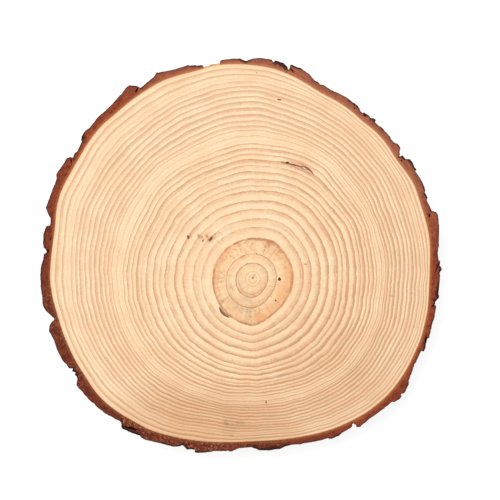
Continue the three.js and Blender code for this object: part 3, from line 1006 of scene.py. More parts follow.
    def _marks(self, sketch: Sketch, wandering: bpy.types.NodeSocket,
               marks: list[Mark]) -> bpy.types.NodeSocket:
        """Gathers marks of one tone.

        Args:
            sketch: The material's nodes.
            wandering: The place from the pith, shifted a little.
            marks: The marks.

        Returns:
            How strongly the tone shows.
        """
        total = None
        for mark in marks:
            centre = heading(mark.angle) * mark.radius_mm
            from_centre = sketch.vector("SUBTRACT", wandering, tuple(centre))
            along = sketch.dot(from_centre, heading(mark.angle + 90.0 + mark.lean) / mark.long_mm)
            across = sketch.dot(from_centre, heading(mark.angle + mark.lean) / mark.wide_mm)
            away_squared = sketch.maths("MULTIPLY_ADD", along, along, sketch.times(across, across))
            core = 1.0 - self.fade_inwards * mark.soft
            rim = 1.0 + self.fade_outwards * mark.soft
            shown = sketch.times(sketch.rise(away_squared, rim * rim, core * core), mark.strength)
            total = shown if total is None else sketch.maths("MAXIMUM", total, shown)
        return total


@dataclass(frozen=True)
class ResinAndShadeFinish:
    """The walls and floors of the openings in the wood: pinkish near the face and dark brown in the depth,
    partly the resin's own colour and partly painted shade.
    """

    near: tuple[float, ...] = tint(220, 172, 140)
    middle: tuple[float, ...] = tint(172, 114, 80)
    deep: tuple[float, ...] = tint(126, 76, 42)
    middle_depth_mm: tuple[float, float] = (0.3, 0.8)
    resin_and_shade_depth_mm: tuple[float, float] = (0.9, 1.5)
    straying_mm: float = 0.6
    relief_depth: float = 0.3 * MM
    roughness: float = 0.7
    gloss: float = 0.1

    # The noise that strays the depths and roughens the walls
    STRAYS = Grain(1.2, 3.0)
    BUMPS = Grain(2.0, 4.0)

    def build(self, top: float) -> bpy.types.Material:
        """Makes the material.

        Args:
            top: Height of the upper sawn face.

        Returns:
            The finished material.
        """
        sketch = Sketch("resin")
        spot = sketch.from_pith()
        height = sketch.node("ShaderNodeSeparateXYZ", {0: spot}).outputs["Z"]
        wander = sketch.swing(sketch.noise(spot, self.STRAYS), self.straying_mm)
        down = sketch.plus(sketch.maths("SUBTRACT", top / MM, height), wander)
        # Darker with depth: partly the resin's own colour, partly painted shade
        colour = sketch.blend(sketch.rise(down, *self.middle_depth_mm), self.near, self.middle)
        colour = sketch.blend(sketch.rise(down, *self.resin_and_shade_depth_mm), colour, self.deep)
        sketch.bump(sketch.noise(spot, self.BUMPS), self.relief_depth)
        return sketch.finish(colour, self.roughness, self.gloss)


@dataclass(eq=False)
class WoodDisc:
    """The disc of wood inside the bark.

    Attributes:
        rings: Where its years end.
        top: Height of the upper sawn face.
        segments: Steps once round.
        cuts: Further cuts in each step.
        relief: How far the soft wood is sanded down below each year's hard end.
    """

    rings: GrowthRings
    top: float
    segments: int = 60
    cuts: int = 9
    relief: float = 0.05 * MM

    # Where a year has its rows on the upper face, and how deep they lie, as shares
    UPPER_ROWS = ((0.0, 1.0), (0.45, 1.0), (0.93, 0.0))
    SIDE_ROWS = 5
    # How wide a year is drawn in the section, before its points go to their own radius
    YEAR_WIDTH = 1.0 * MM
    OPENINGS = (
        # The resin pocket: two cracks end to end, a shallow one beside the splinter, and a pit
        Opening((65.9, 76.4), (74.2, 75.3), -0.45, 0.6, 1.1, 1.1, 0.3),
        Opening((59.2, 75.0), (67.4, 76.3), 0.95, 2.05, 1.1, 1.1, 0.3),
        Opening((63.6, 76.0), (67.2, 75.8), -0.5, 0.15, 0.6, 0.6, 0.1),
        Opening((72.2, 75.6), (74.4, 75.6), -0.7, 0.95, 1.3, 1.3, 0.25),
        # The slit at the heartwood's edge, deep along its outer side
        Opening((219.4, 26.9), (240.0, 27.3), 0.25, 2.3, 0.2, 0.8, 0.2),
        Opening((219.2, 27.4), (240.0, 28.2), 0.7, 2.0, 1.2, 1.2, 0.3),
        # The three-cornered hole
        Opening((355.6, 16.7), (4.8, 16.6), -0.75, 0.95, 1.9, 1.9, 0.0, 0.9),
    )

    def build(self) -> bpy.types.Object:
        """Makes the disc.

        Returns:
            The finished piece.
        """
        work = turned_mesh(self._section(), self.segments, self.cuts)
        year_of = work.verts.layers.float["year"]
        for vert in work.verts:
            angle = angle_of(vert.co)
            vert.co = place(angle, self.rings.radius(vert[year_of], angle), vert.co.z)
        self._number_years(work)
        piece = as_piece(work, "wood_disc", WoodFinish().build())
        cut(piece, self.OPENINGS, self.top, ResinAndShadeFinish().build(self.top))
        shade(piece)
        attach(piece, "root")
        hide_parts("wood")
        return piece

    def _section(self) -> list[dict[str, float]]:
        """Lays out the section by years, from the pith out over the upper face and back below.

        Returns:
            Its points.
        """
        last = self.rings.count
        upper = [(year + share, self.top - depth * self.relief)
                 for year in range(last) for share, depth in self.UPPER_ROWS]
        side = [(float(last), mix(self.top, 0.0, step / self.SIDE_ROWS))
                for step in range(self.SIDE_ROWS + 1)]
        lower = [(float(year), 0.0) for year in range(last - 1, -1, -1)]
        return [{"radius": year * self.YEAR_WIDTH, "height": height, "year": year}
                for year, height in [*upper, *side, *lower]]

    def _number_years(self, work: bmesh.types.BMesh) -> None:
        """Writes the year and the darkness of its line on every corner.

        Args:
            work: The mesh, which loses the years on its vertices.
        """
        year_of = work.verts.layers.float["year"]
        year_at = work.loops.layers.float.new("year")
        line_at = work.loops.layers.float.new("line")
        for face in work.faces:
            mean = sum(vert[year_of] for vert in face.verts) / len(face.verts)
            line = self.rings.darkness[min(int(mean), self.rings.count - 1)]
            for loop in face.loops:
                loop[year_at] = loop.vert[year_of]
                loop[line_at] = line
        work.verts.layers.float.remove(year_of)


class Zone(Enum):
    """The stretches of the bark's section, in order round it."""

    UPPER = 0.0
    OUTSIDE = 1.0
    LOWER = 2.0
    INSIDE = 3.0


class Layer(Enum):
    """Where in the noise each layer of the bark's relief is read, so that no two are alike."""

    BROAD = 0.0
    FINE = 5.0
    WARP = 11.0
    CRACKS = 23.0
    GRIT = 31.0
    RIM = 41.0
    RIM_GRIT = 43.0
    TORN = 51.0
    TORN_GRIT = 53.0


@dataclass(frozen=True)
class BarkRelief:
    """The scales, cracks and roughness of the bark, in millimetres below its outermost surface.

    Attributes:
        round_mm: The mean radius at which lengths round the bark are counted.
        scale_wide_mm: How wide the large scales are.
        scale_tall_mm: How tall they are.
        scale_step_mm: How thick they are.
        layers: How many lie over each other.
        lift: How far a scale's edge stands up, as a share of its thickness.
        small_ratio: How many times smaller the small scales are.
        small_step_mm: How thick those are.
        small_layers: How many of those lie over each other for each step of the noise.
        warp: How far the scales' outlines are bent.
        crack_mm: Depth of the upright cracks.
        crack_wide_mm: How far apart they stand.
        crack_tall_mm: How tall they are.
        crack_narrow: How narrow they are, as a share of the noise's range.
        rough_mm: Height of the finest roughness.
        grit_mm: How large its grains are.
    """

    round_mm: float = 125.0
    scale_wide_mm: float = 13.0
    scale_tall_mm: float = 19.0
    scale_step_mm: float = 0.6
    layers: float = 4.5
    lift: float = 0.45
    small_ratio: float = 2.6
    small_step_mm: float = 0.16
    small_layers: float = 2.2
    warp: float = 0.22
    crack_mm: float = 1.3
    crack_wide_mm: float = 9.0
    crack_tall_mm: float = 46.0
    crack_narrow: float = 0.07
    rough_mm: float = 0.07
    grit_mm: float = 0.9

    # A scale rises gently over this share of its breadth, and drops at its edge over the rest
    EDGE_SHARE = 0.84
    SEED = Vector((3.1, 7.7, 1.9))

    def _noise(self, angle: float, height_mm: float, wide_mm: float, tall_mm: float, layer: Layer) -> float:
        """Reads smooth noise, which is the same again after a whole turn.

        Args:
            angle: Degrees round the pith.
            height_mm: Height above the floor, or another distance across the bark.
            wide_mm: How wide its grains are.
            tall_mm: How tall they are.
            layer: Which layer of noise is read.

        Returns:
            A number from about -1 to 1.
        """
        at = heading(angle) * (self.round_mm / wide_mm)
        at.z = height_mm / tall_mm + layer.value
        return noise.noise(at + self.SEED)

    def _scales(self, level: float) -> float:
        """Finds how deep a surface of overlapping scales lies.

        Args:
            level: How deep it would lie if it sloped evenly, in scales.

        Returns:
            Its depth in scales, flatter over each scale and steep at its edge.
        """
        whole = math.floor(level)
        part = level - whole
        if part < self.EDGE_SHARE:
            return whole - self.lift * part / self.EDGE_SHARE
        drop = smooth_step(self.EDGE_SHARE, 1.0, part)
        return whole + mix(-self.lift, 1.0, drop)

    def depth_mm(self, angle: float, height_mm: float) -> float:
        """Finds how deep the weathered surface lies.

        Args:
            angle: Degrees round the pith.
            height_mm: Height above the floor.

        Returns:
            Millimetres below the outermost surface, not under 0.
        """
        warp = self._noise(angle, height_mm, 5.0, 7.0, Layer.WARP) * self.warp
        broad = self._noise(angle, height_mm, self.scale_wide_mm, self.scale_tall_mm, Layer.BROAD)
        fine = self._noise(angle, height_mm, self.scale_wide_mm / self.small_ratio,
                           self.scale_tall_mm / self.small_ratio, Layer.FINE)
        level = (0.5 + 0.62 * broad + 0.2 * fine + warp * 0.5) * self.layers
        large = self._scales(max(level, 0.0)) * self.scale_step_mm
        small = self._scales((fine + warp + 1.0) * self.small_layers) * self.small_step_mm
        crack_line = self._noise(angle + 2.0 * warp, height_mm, self.crack_wide_mm, self.crack_tall_mm,
                                 Layer.CRACKS)
        crack = self.crack_mm * math.exp(-((crack_line / self.crack_narrow) ** 2))
        rough = self.rough_mm * self._noise(angle, height_mm, self.grit_mm, self.grit_mm, Layer.GRIT)
        return max(large + small + crack + rough, 0.0)

    def rim_mm(self, angle: float) -> float:
        """Returns how far the edge of the sawn face stands in or out of its plain line, in millimetres."""
        broad = self._noise(angle, 0.0, 2.2, 1.0, Layer.RIM)
        return 0.3 * broad + 0.22 * self._noise(angle, 0.0, 0.9, 1.0, Layer.RIM_GRIT)

    def sawn_mm(self, angle: float, from_wood_mm: float) -> float:
        """Finds how deep the torn grain of the sawn face lies.

        Args:
            angle: Degrees round the pith.
            from_wood_mm: Distance from the wood.

        Returns:
            Millimetres below the plain face.
        """
        layers = self._noise(angle, from_wood_mm, 7.0, 0.8, Layer.TORN)
        torn = 0.16 * math.exp(-((layers / 0.12) ** 2))
        return torn + 0.08 * (1.0 + self._noise(angle, from_wood_mm, 1.2, 0.9, Layer.TORN_GRIT))


@dataclass(frozen=True)
class Stretch:
    """A stretch of the sawn bark.

    Attributes:
        start: The angle at which it starts, in degrees.
        end: The angle at which it ends.
        amount: How much of what it tells of is there.
    """

    start: float
    end: float
    amount: float

    FADE = 0.35

    def share(self, angle: float) -> float:
        """Returns how far an angle lies in the stretch, from 0 to 1."""
        begun = smooth_step(self.start - self.FADE, self.start + self.FADE, angle)
        return begun * smooth_step(self.end + self.FADE, self.end - self.FADE, angle)


def along(stretches: tuple[Stretch, ...], plain: float, angle: float) -> float:
    """Finds the amount at an angle.

    Args:
        stretches: The stretches with an amount of their own.
        plain: The amount elsewhere.
        angle: The angle in degrees, from 0 to 360.

    Returns:
        The amount there.
    """
    amount = plain
    for stretch in stretches:
        amount = mix(amount, stretch.amount, stretch.share(angle))
    return amount


# How wide the blackened rim is, in millimetres
RIM_PLAIN_MM = 0.3
RIM_MM = (
    Stretch(24.5, 26.4, 1.0), Stretch(27.0, 30.2, 0.7), Stretch(33.6, 37.8, 1.1),
    Stretch(38.4, 40.2, 1.2), Stretch(41.2, 44.0, 0.5), Stretch(52.0, 53.8, 1.6),
    Stretch(55.0, 56.2, 0.8), Stretch(58.4, 62.0, 1.0), Stretch(66.0, 68.0, 0.6),
    Stretch(70.8, 73.4, 0.7), Stretch(77.0, 80.2, 0.9), Stretch(80.5, 84.6, 2.4),
    Stretch(84.6, 86.5, 0.6), Stretch(91.0, 93.4, 1.0), Stretch(103.3, 107.0, 0.8),
    Stretch(120.4, 122.6, 0.8), Stretch(139.2, 141.2, 1.4), Stretch(146.2, 147.8, 1.0),
    Stretch(162.0, 163.4, 0.7), Stretch(165.4, 171.6, 0.8), Stretch(171.6, 173.4, 1.2),
    Stretch(173.4, 182.0, 0.7), Stretch(205.8, 209.8, 1.2), Stretch(226.0, 234.0, 1.4),
    Stretch(240.0, 246.8, 1.0), Stretch(246.8, 250.8, 1.6), Stretch(251.2, 256.6, 1.0),
    Stretch(256.6, 262.0, 0.6), Stretch(270.0, 282.2, 1.8), Stretch(295.4, 300.5, 0.9),
    Stretch(303.6, 306.0, 0.9), Stretch(318.6, 327.0, 0.7), Stretch(336.6, 341.6, 1.0),
    Stretch(341.6, 348.0, 0.6), Stretch(350.5, 352.5, 0.7), Stretch(352.6, 359.0, 1.8),
)
# How strongly pale and dark granules show in the sawn face, from 0 to 1
GRANULES_PLAIN = 0.15
GRANULES = (
    Stretch(52.0, 80.0, 0.35), Stretch(182.0, 200.0, 0.55), Stretch(204.0, 212.0, 0.7),
    Stretch(226.0, 262.0, 1.0), Stretch(262.0, 282.0, 0.5),
)


@dataclass(frozen=True)
class BarkFinish:
    """Scaly softwood bark: reddish brown where it is sawn, grey-brown to black where it has weathered."""

    red: tuple[float, ...] = tint(152, 70, 42)
    brown: tuple[float, ...] = tint(118, 50, 32)
    orange: tuple[float, ...] = tint(180, 96, 54)
    pink: tuple[float, ...] = tint(210, 140, 108)
    inner: tuple[float, ...] = tint(188, 108, 60)
    outer: tuple[float, ...] = tint(62, 28, 19)
    # The painted light laid over one side of the sawn face, and the painted shade multiplied over the other
    painted_light: tuple[float, ...] = tint(230, 168, 134)
    painted_shade: tuple[float, ...] = tint(202, 198, 198)
    # Painted light and shade: the angles of the side painted lighter and of the side painted darker, and how
    # far round from there each fades
    painted_light_side: float = 68.0
    painted_light_turn: tuple[float, float] = (0.45, 0.9)
    painted_shade_side: float = 228.0
    painted_shade_turn: tuple[float, float] = (0.1, 0.8)
    scale: tuple[float, ...] = tint(108, 84, 74)
    scale_dark: tuple[float, ...] = tint(64, 46, 41)
    fresh: tuple[float, ...] = tint(134, 78, 54)
    # Near-black painted shade for the deepest fissures
    crack: tuple[float, ...] = tint(30, 20, 18)
    lip: tuple[float, ...] = tint(50, 27, 18)
    bare: tuple[float, ...] = tint(224, 172, 122)
    # Distances over which the sawn face changes: from the wood, to its rim, and in its thickness
    inner_mm: tuple[float, float] = (2.4, 0.0)
    darkening_mm: tuple[float, float] = (2.4, 0.2)
    bare_mm: tuple[float, float] = (1.7, 1.0)
    # Depths over which the weathered side changes, with its deepest fissures darkened as painted shade, and
    # the height over which its upper edge is dark
    fresh_from_mm: tuple[float, float] = (0.6, 1.3)
    fresh_to_mm: tuple[float, float] = (2.6, 1.5)
    crack_mm: tuple[float, float] = (1.9, 3.0)
    lip_mm: tuple[float, float] = (3.6, 0.8)
    relief_depth: float = 0.4 * MM
    roughness: tuple[float, float] = (0.75, 1.0)
    gloss: float = 0.2

    # The noise that each layer of the finish is drawn with
    RAGGED_SKIN = Grain(1.1, 3.0)
    BUMPS = Grain(1.6, 5.0, 0.7)
    SHEEN = Grain(0.6)
    LAYERS = Grain(1.0, 4.0, 0.7)
    BLOTCHES = Grain(0.42, 4.0, 0.65)
    GRANULES = Grain(0.95, 3.0, 0.75)
    RAGGED_RIM = Grain(0.9, 3.0, 0.6)
    PATCHES = Grain(0.3, 5.0, 0.65)
    FLECKS = Grain(1.4, 3.0, 0.7)

    def build(self) -> bpy.types.Material:
        """Makes the material.

        Returns:
            The finished material.
        """
        sketch = Sketch("scaly_bark")
        spot = sketch.from_pith()
        direction = sketch.vector("NORMALIZE", sketch.vector("MULTIPLY", spot, (1.0, 1.0, 0.0)))
        sawn = self._sawn(sketch, spot, direction)
        weathered = self._weathered(sketch, spot)
        ragged = sketch.swing(sketch.noise(spot, self.RAGGED_SKIN), 0.5)
        skin = sketch.rise(sketch.plus(sketch.attribute("skin"), ragged), 0.3, 0.6)
        colour = sketch.blend(skin, sawn, weathered)
        sketch.bump(sketch.noise(spot, self.BUMPS), self.relief_depth)
        roughness = sketch.spread(sketch.noise(spot, self.SHEEN), *self.roughness)
        return sketch.finish(colour, roughness, self.gloss)

    def _sawn(self, sketch: Sketch, spot: bpy.types.NodeSocket,
              direction: bpy.types.NodeSocket) -> bpy.types.NodeSocket:
        """Paints the sawn face in thin layers that follow the wood.

        Args:
            sketch: The material's nodes.
            spot: The place from the pith.
            direction: The way out from the pith.

        Returns:
            The colour.
        """
        from_wood = sketch.attribute("from_wood")
        layers = sketch.noise(sketch.lifted(direction, 40.0, from_wood, 1.5), self.LAYERS)
        blotches = sketch.noise(spot, self.BLOTCHES)
        colour = sketch.blend(sketch.rise(blotches, 0.38, 0.62), self.red, self.brown)
        colour = sketch.blend(sketch.times(sketch.rise(layers, 0.52, 0.66), 0.6), colour, self.orange)
        colour = sketch.blend(sketch.times(sketch.rise(layers, 0.46, 0.34), 0.4), colour, self.outer)
        inner = sketch.rise(from_wood, *self.inner_mm)
        colour = sketch.blend(sketch.times(inner, 0.8), colour, self.inner)
        # Painted light and shade: one side of the ring is painted lighter and the other darker
        pale = sketch.rise(sketch.dot(direction, heading(self.painted_light_side)), *self.painted_light_turn)
        colour = sketch.blend(sketch.times(pale, 0.18), colour, self.painted_light)
        painted_shade = sketch.rise(sketch.dot(direction, heading(self.painted_shade_side)), *self.painted_shade_turn)
        colour = sketch.multiply(painted_shade, colour, self.painted_shade)
        # It darkens towards the rim
        from_rim = sketch.attribute("to_rim")
        darker = sketch.times(sketch.rise(from_rim, *self.darkening_mm), 0.4)
        colour = sketch.blend(darker, colour, self.brown)
        # Granules: pale ones and dark pits between them
        granules = sketch.noise(spot, self.GRANULES)
        shown = sketch.attribute("granular")
        raised = sketch.times(sketch.rise(granules, 0.53, 0.68), sketch.times(shown, 0.75))
        colour = sketch.blend(raised, colour, self.pink)
        pits = sketch.times(sketch.rise(granules, 0.46, 0.32), sketch.spread(shown, 0.3, 0.85))
        colour = sketch.blend(pits, colour, self.outer)
        # The outermost layer is dark, and thick in places
        ragged = sketch.rise(sketch.noise(spot, self.RAGGED_RIM), 0.3, 0.7)
        rim = sketch.attribute("rim")
        wide = sketch.times(rim, sketch.spread(ragged, 0.35, 1.65))
        edge = sketch.rise(from_rim, wide, sketch.times(wide, 0.55))
        edge = sketch.times(edge, sketch.spread(sketch.rise(rim, 0.3, 0.8), 0.65, 0.94))
        colour = sketch.blend(edge, colour, self.outer)
        # Where the bark has worn to almost nothing, its pale inner layer shows
        thickness = sketch.plus(from_wood, from_rim)
        return sketch.blend(sketch.rise(thickness, *self.bare_mm), colour, self.bare)

    def _weathered(self, sketch: Sketch, spot: bpy.types.NodeSocket) -> bpy.types.NodeSocket:
        """Paints the outer scales: grey-brown on top, redder where one has come away, and near-black painted
        shade in the deepest fissures.

        Args:
            sketch: The material's nodes.
            spot: The place from the pith.

        Returns:
            The colour.
        """
        upright = sketch.vector("MULTIPLY", spot, (1.0, 1.0, 0.45))
        patches = sketch.rise(sketch.noise(upright, self.PATCHES), 0.4, 0.62)
        colour = sketch.blend(patches, self.scale, self.scale_dark)
        depth = sketch.attribute("depth")
        fresh = sketch.times(sketch.rise(depth, *self.fresh_from_mm), sketch.rise(depth, *self.fresh_to_mm))
        colour = sketch.blend(sketch.times(fresh, 0.75), colour, self.fresh)
        flecks = sketch.rise(sketch.noise(upright, self.FLECKS), 0.56, 0.7)
        colour = sketch.blend(sketch.times(flecks, 0.4), colour, self.fresh)
        # The deepest fissures are painted near-black: painted shade
        colour = sketch.blend(sketch.rise(depth, *self.crack_mm), colour, self.crack)
        return sketch.blend(sketch.rise(sketch.attribute("below"), *self.lip_mm), colour, self.lip)


@dataclass(frozen=True)
class PaintedShadeCrackFinish:
    """The walls of the small cracks in the bark, painted dark brown to nearly black as painted shade."""

    # Painted shade on the crack walls
    brown: tuple[float, ...] = tint(78, 42, 28)
    painted_shade_black: tuple[float, ...] = tint(38, 22, 17)
    roughness: float = 0.9
    gloss: float = 0.1

    PATCHES = Grain(0.9, 3.0)

    def build(self) -> bpy.types.Material:
        """Makes the material.

        Returns:
            The finished material.
        """
        sketch = Sketch("bark_crack_painted_shade")
        patches = sketch.rise(sketch.noise(sketch.from_pith(), self.PATCHES), 0.42, 0.6)
        return sketch.finish(sketch.blend(patches, self.brown, self.painted_shade_black), self.roughness, self.gloss)


@dataclass(eq=False)
class BarkRing:
    """The ring of bark round the wood.

    Attributes:
        wood_edge: The surface of the CAD wood, which the bark lies against.
        outline: The surface of the CAD bark.
        top: Height of the upper sawn face.
        relief: Its scales and cracks.
        segments: Steps once round.
        cuts: Further cuts in each step.
    """

    wood_edge: CadSurface
    outline: CadSurface
    top: float
    relief: BarkRelief = BarkRelief()
    segments: int = 96
    cuts: int = 14

    # The bark starts this far outside the wood, and is nowhere thinner than this
    JOINT = 0.03 * MM
    THINNEST = 0.6 * MM
    # Rows over the faces and down the side, the first of which have their own depths
    UPPER_ROWS = 11
    LOWER_ROWS = 6
    SIDE_ROWS = 35
    SKIN_ROWS_MM = (0.15, 0.4, 0.75, 1.2, 1.8, 2.5)
    INSIDE_SHARES = (0.33, 0.67)
    # The outline is read this far inside the sawn faces
    JUST_BELOW = 0.03 * MM
    # The relief of the side is calmer close under the upper edge, and where the bark is thin
    CALM_MM = (0.5, 4.5)
    CALM_SHARE = 0.15
    FULL_THICKNESS_MM = 6.0
    # The ragged rim reaches down to here, and the torn grain fades in over this share of the face
    RIM_DEPTH_MM = 0.75
    SAWN_FADE = 0.2
    # What the material reads at each point
    NUMBERS = ("from_wood", "to_rim", "depth", "below", "rim", "granular")
    OPENINGS = (
        Opening((1.8, 113.8), (5.2, 116.9), -0.35, 0.4, 3.0, 3.0, 0.2),
        Opening((19.1, 117.0), (20.4, 117.6), -0.6, 0.6, 4.0, 4.0, 0.2),
        Opening((38.0, 118.7), (38.9, 118.9), -0.4, 0.4, 3.0, 3.0, 0.1),
        Opening((55.0, 123.6), (56.2, 123.9), -0.5, 0.5, 4.0, 4.0, 0.1),
        Opening((58.9, 124.0), (59.6, 124.1), -0.4, 0.4, 3.0, 3.0, 0.1),
        Opening((78.6, 131.3), (80.2, 134.2), -0.5, 0.5, 6.0, 6.0, 0.2),
        Opening((91.2, 136.2), (93.3, 138.2), -0.4, 0.4, 5.0, 5.0, 0.2),
        Opening((120.9, 139.4), (122.3, 137.5), -0.5, 0.5, 5.0, 5.0, 0.2),
        Opening((139.8, 136.4), (140.9, 140.0), -0.5, 0.5, 5.0, 5.0, 0.2),
        Opening((146.2, 136.9), (147.8, 134.1), -0.4, 0.4, 5.0, 5.0, 0.2),
        Opening((168.0, 128.8), (169.3, 128.9), -0.4, 0.4, 4.0, 4.0, 0.1),
        Opening((171.5, 129.3), (173.0, 129.0), -0.5, 0.5, 5.0, 5.0, 0.2),
        Opening((206.5, 125.9), (209.0, 125.0), -0.4, 0.4, 4.0, 4.0, 0.2),
        Opening((228.9, 122.3), (233.0, 118.4), -0.7, 0.8, 6.0, 6.0, 0.4),
        Opening((248.4, 110.2), (249.3, 111.0), -0.45, 0.45, 5.0, 5.0, 0.1),
        Opening((266.7, 105.0), (267.6, 105.1), -0.4, 0.4, 3.0, 3.0, 0.1),
        Opening((304.8, 110.2), (305.0, 113.0), -0.55, 0.55, 8.0, 8.0, 0.1),
        Opening((339.2, 115.2), (342.6, 113.6), -0.5, 0.5, 4.0, 4.0, 0.2),
        Opening((351.1, 112.8), (352.0, 115.4), -0.4, 0.4, 4.0, 4.0, 0.2),
    )

    def build(self) -> bpy.types.Object:
        """Makes the ring.

        Returns:
            The finished piece.
        """
        work = turned_mesh(self._section(), self.segments, self.cuts)
        zone_of, across_of = (work.verts.layers.float[name] for name in ("zone", "across"))
        numbers = {name: work.verts.layers.float.new("vertex_" + name) for name in self.NUMBERS}
        for vert in work.verts:
            angle = angle_of(vert.co)
            zone = Zone(round(vert[zone_of]))
            spot, values = self._placed(zone, vert[across_of], angle, vert.co.z)
            vert.co = spot
            for name, layer in numbers.items():
                vert[layer] = values[name]
        self._write_numbers(work, zone_of, numbers)
        piece = as_piece(work, "bark_ring", BarkFinish().build())
        cut(piece, self.OPENINGS, self.top, PaintedShadeCrackFinish().build())
        shade(piece)
        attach(piece, "root")
        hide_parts("bark")
        return piece

    def _section(self) -> list[dict[str, float]]:
        """Lays out the section, once round it: how far across the bark each point lies, and how high.

        Returns:
            Its points.
        """
        skin = [depth * MM for depth in self.SKIN_ROWS_MM]
        first = self.SKIN_ROWS_MM[-1] * MM
        rows = self.SIDE_ROWS - len(skin)
        side = skin + [mix(first, self.top, step / (rows + 1)) for step in range(1, rows + 1)]
        upper = [(Zone.UPPER, step / self.UPPER_ROWS, self.top) for step in range(self.UPPER_ROWS + 1)]
        outside = [(Zone.OUTSIDE, 1.0, self.top - depth) for depth in side]
        lower = [(Zone.LOWER, 1.0 - step / self.LOWER_ROWS, 0.0) for step in range(self.LOWER_ROWS + 1)]
        inside = [(Zone.INSIDE, 0.0, self.top * share) for share in self.INSIDE_SHARES]
        return [{"radius": 1.0 + across, "height": height, "zone": zone.value, "across": across}
                for zone, across, height in [*upper, *outside, *lower, *inside]]

    @functools.lru_cache(maxsize=None)
    def _rim(self, angle: float, height: float) -> tuple[float, float]:
        """Finds where the bark starts and ends.

        Args:
            angle: Degrees round the pith.
            height: Height above the floor.

        Returns:
            Its inner and its outer radius.
        """
        inner = self.wood_edge.radius_from_outside(angle, self.top / 2.0) + self.JOINT
        level = min(max(height, self.JUST_BELOW), self.top - self.JUST_BELOW)
        return inner, max(self.outline.radius_from_outside(angle, level), inner + self.THINNEST)

    def _reach(self, angle: float) -> float:
        """Finds where a line from the pith meets the CAD model's box.

        Args:
            angle: Degrees round the pith.

        Returns:
            The radius there.
        """
        way = heading(angle)
        low, high = CAD_BOX
        sides = [((high if way[axis] > 0.0 else low)[axis] - PITH[axis]) / way[axis]
                 for axis in (0, 1) if abs(way[axis]) > MERGE_DISTANCE]
        return min(sides)

    def _worn(self, angle: float, height: float) -> float:
        """Finds how far the weathered side lies inside the CAD outline.

        Args:
            angle: Degrees round the pith.
            height: Height above the floor.

        Returns:
            Millimetres inwards.
        """
        inner, outer = self._rim(angle, height)
        thickness_mm = (outer - inner) / MM
        below_mm = (self.top - height) / MM
        calm = mix(self.CALM_SHARE, 1.0, smooth_step(*self.CALM_MM, below_mm))
        room = min(max(thickness_mm - self.THINNEST / MM, 0.0) / self.FULL_THICKNESS_MM, 1.0)
        return self.relief.depth_mm(angle, height / MM) * calm * room

    def _placed(self, zone: Zone, across: float, angle: float,
                height: float) -> tuple[Vector, dict[str, float]]:
        """Finds where a point of the section goes.

        Args:
            zone: The stretch of the section that it is on.
            across: The share of the bark's thickness at which it lies.
            angle: Degrees round the pith.
            height: Its height in the section.

        Returns:
            The point, and the numbers that the material reads there, with lengths in millimetres.
        """
        inner, outer = self._rim(angle, height)
        worn_mm = self._worn(angle, height)
        if zone is not Zone.OUTSIDE or height > self.top - self.RIM_DEPTH_MM * MM:
            outer += self.relief.rim_mm(angle) * MM
        outer = max(min(outer - worn_mm * MM, self._reach(angle)), inner + self.THINNEST)
        radius = mix(inner, outer, across)
        from_wood_mm = (radius - inner) / MM
        if zone is Zone.UPPER:
            height -= self.relief.sawn_mm(angle, from_wood_mm) * smooth_step(0.0, self.SAWN_FADE, across) * MM
        values = {
            "from_wood": from_wood_mm,
            "to_rim": (outer - radius) / MM,
            "depth": worn_mm,
            "below": (self.top - height) / MM,
            "rim": along(RIM_MM, RIM_PLAIN_MM, angle),
            "granular": along(GRANULES, GRANULES_PLAIN, angle),
        }
        return place(angle, radius, height), values

    def _write_numbers(self, work: bmesh.types.BMesh, zone_of: object, numbers: dict[str, object]) -> None:
        """Writes what the material reads on every corner.

        Args:
            work: The mesh.
            zone_of: The layer with each vertex's zone.
            numbers: The layers with each vertex's other numbers.
        """
        written = {name: work.loops.layers.float.new(name) for name in (*numbers, "skin")}
        for face in work.faces:
            weathered = any(round(vert[zone_of]) == Zone.OUTSIDE.value for vert in face.verts)
            for loop in face.loops:
                for name, layer in numbers.items():
                    loop[written[name]] = loop.vert[layer]
                loop[written["skin"]] = 1.0 if weathered else 0.0
        for name in ["zone", "across", *("vertex_" + name for name in numbers)]:
            work.verts.layers.float.remove(work.verts.layers.float[name])


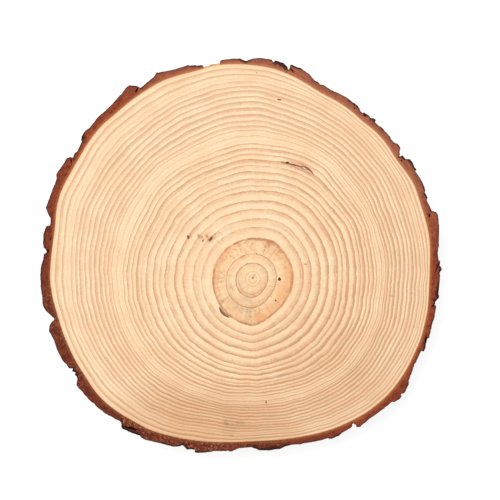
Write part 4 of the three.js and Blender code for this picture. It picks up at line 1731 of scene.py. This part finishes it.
@dataclass(frozen=True)
class Studio:
    """The pale floor, the soft light and the camera, which looks straight down.

    Attributes:
        look_x: Where the camera looks, along X.
        look_y: Where it looks, along Y.
        view_width: How wide its view is at the upper sawn face.
        distance: How high it stands above that face.
        sensor_mm: Width of its sensor.
        sky: Brightness of the light from all round.
        lamp_power: Watts of the large lamp at the upper left.
        lamp_size: Its side.
        lamp_at: Where it stands.
        floor_size: Side of the floor.
        floor_grey: The grey of the floor as seen, from 0 to 255.
        floor_roughness: How dull it is.
        floor_glow: Light that it gives off itself, as a light table does.
        floor_gap: How far it lies below the slice.
    """

    look_x: float = 5.85 * MM
    look_y: float = 3.36 * MM
    view_width: float = 312.5 * MM
    distance: float = 2.4
    sensor_mm: float = 36.0
    sky: float = 0.42
    lamp_power: float = 80.0
    lamp_size: float = 2.0
    lamp_at: tuple[float, float, float] = (-0.8, 0.9, 2.8)
    floor_size: float = 8.0
    floor_grey: float = 140.0
    floor_roughness: float = 0.9
    floor_glow: float = 0.85
    floor_gap: float = 0.05 * MM

    def build(self, top: float) -> None:
        """Builds everything round the slice.

        Args:
            top: Height of the upper sawn face.
        """
        self._floor()
        self._light()
        self._camera(top)
        bpy.context.scene.view_settings.view_transform = "Standard"

    def _floor(self) -> None:
        """Lays the floor, which has no underside, so that the slice can be seen from below."""
        work = bmesh.new()
        bmesh.ops.create_grid(work, x_segments=1, y_segments=1, size=self.floor_size / 2.0)
        bmesh.ops.translate(work, verts=work.verts, vec=(0.0, 0.0, -self.floor_gap))
        sketch = Sketch("floor")
        sketch.shader.inputs["Emission Color"].default_value = (1.0, 1.0, 1.0, 1.0)
        sketch.shader.inputs["Emission Strength"].default_value = self.floor_glow
        face = sketch.node("ShaderNodeNewGeometry", {}).outputs["Backfacing"]
        sketch.links.new(sketch.maths("SUBTRACT", 1.0, face), sketch.shader.inputs["Alpha"])
        sketch.material.cycles.emission_sampling = "NONE"
        colour = tint(self.floor_grey, self.floor_grey, self.floor_grey)
        floor = as_piece(work, "floor", sketch.finish(colour, self.floor_roughness, 0.0))

    def _light(self) -> None:
        """Sets the even light from all round and the lamp."""
        scene = bpy.context.scene
        scene.world = bpy.data.worlds.new("sky")
        scene.world.use_nodes = True
        background = scene.world.node_tree.nodes["Background"]
        background.inputs["Color"].default_value = (1.0, 1.0, 1.0, 1.0)
        background.inputs["Strength"].default_value = self.sky
        lamp = bpy.data.lights.new("lamp", "AREA")
        lamp.shape = "SQUARE"
        lamp.size = self.lamp_size
        lamp.energy = self.lamp_power
        holder = bpy.data.objects.new("lamp", lamp)
        holder.location = self.lamp_at
        holder.rotation_euler = (-Vector(self.lamp_at)).to_track_quat("-Z", "Y").to_euler()
        scene.collection.objects.link(holder)

    def _camera(self, top: float) -> None:
        """Hangs the camera over the slice.

        Args:
            top: Height of the upper sawn face.
        """
        view = bpy.data.cameras.new("camera")
        view.sensor_width = self.sensor_mm
        view.lens = self.sensor_mm * self.distance / self.view_width
        camera = bpy.data.objects.new("camera", view)
        camera.location = (self.look_x, self.look_y, top + self.distance)
        bpy.context.scene.collection.objects.link(camera)
        bpy.context.scene.camera = camera


def main() -> None:
    """Builds the slice and what stands round it, and reports each piece."""
    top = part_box("wood")[1].z
    wood = CadSurface("wood")
    disc = WoodDisc(GrowthRings(wood, top / 2.0), top).build()
    ring = BarkRing(wood, CadSurface("bark"), top).build()
    for piece in (disc, ring):
        piece.data.calc_loop_triangles()
        log.info("%s: %d triangles", piece.name, len(piece.data.loop_triangles))
    Studio().build(top)


if __name__ == "__main__":
    main()
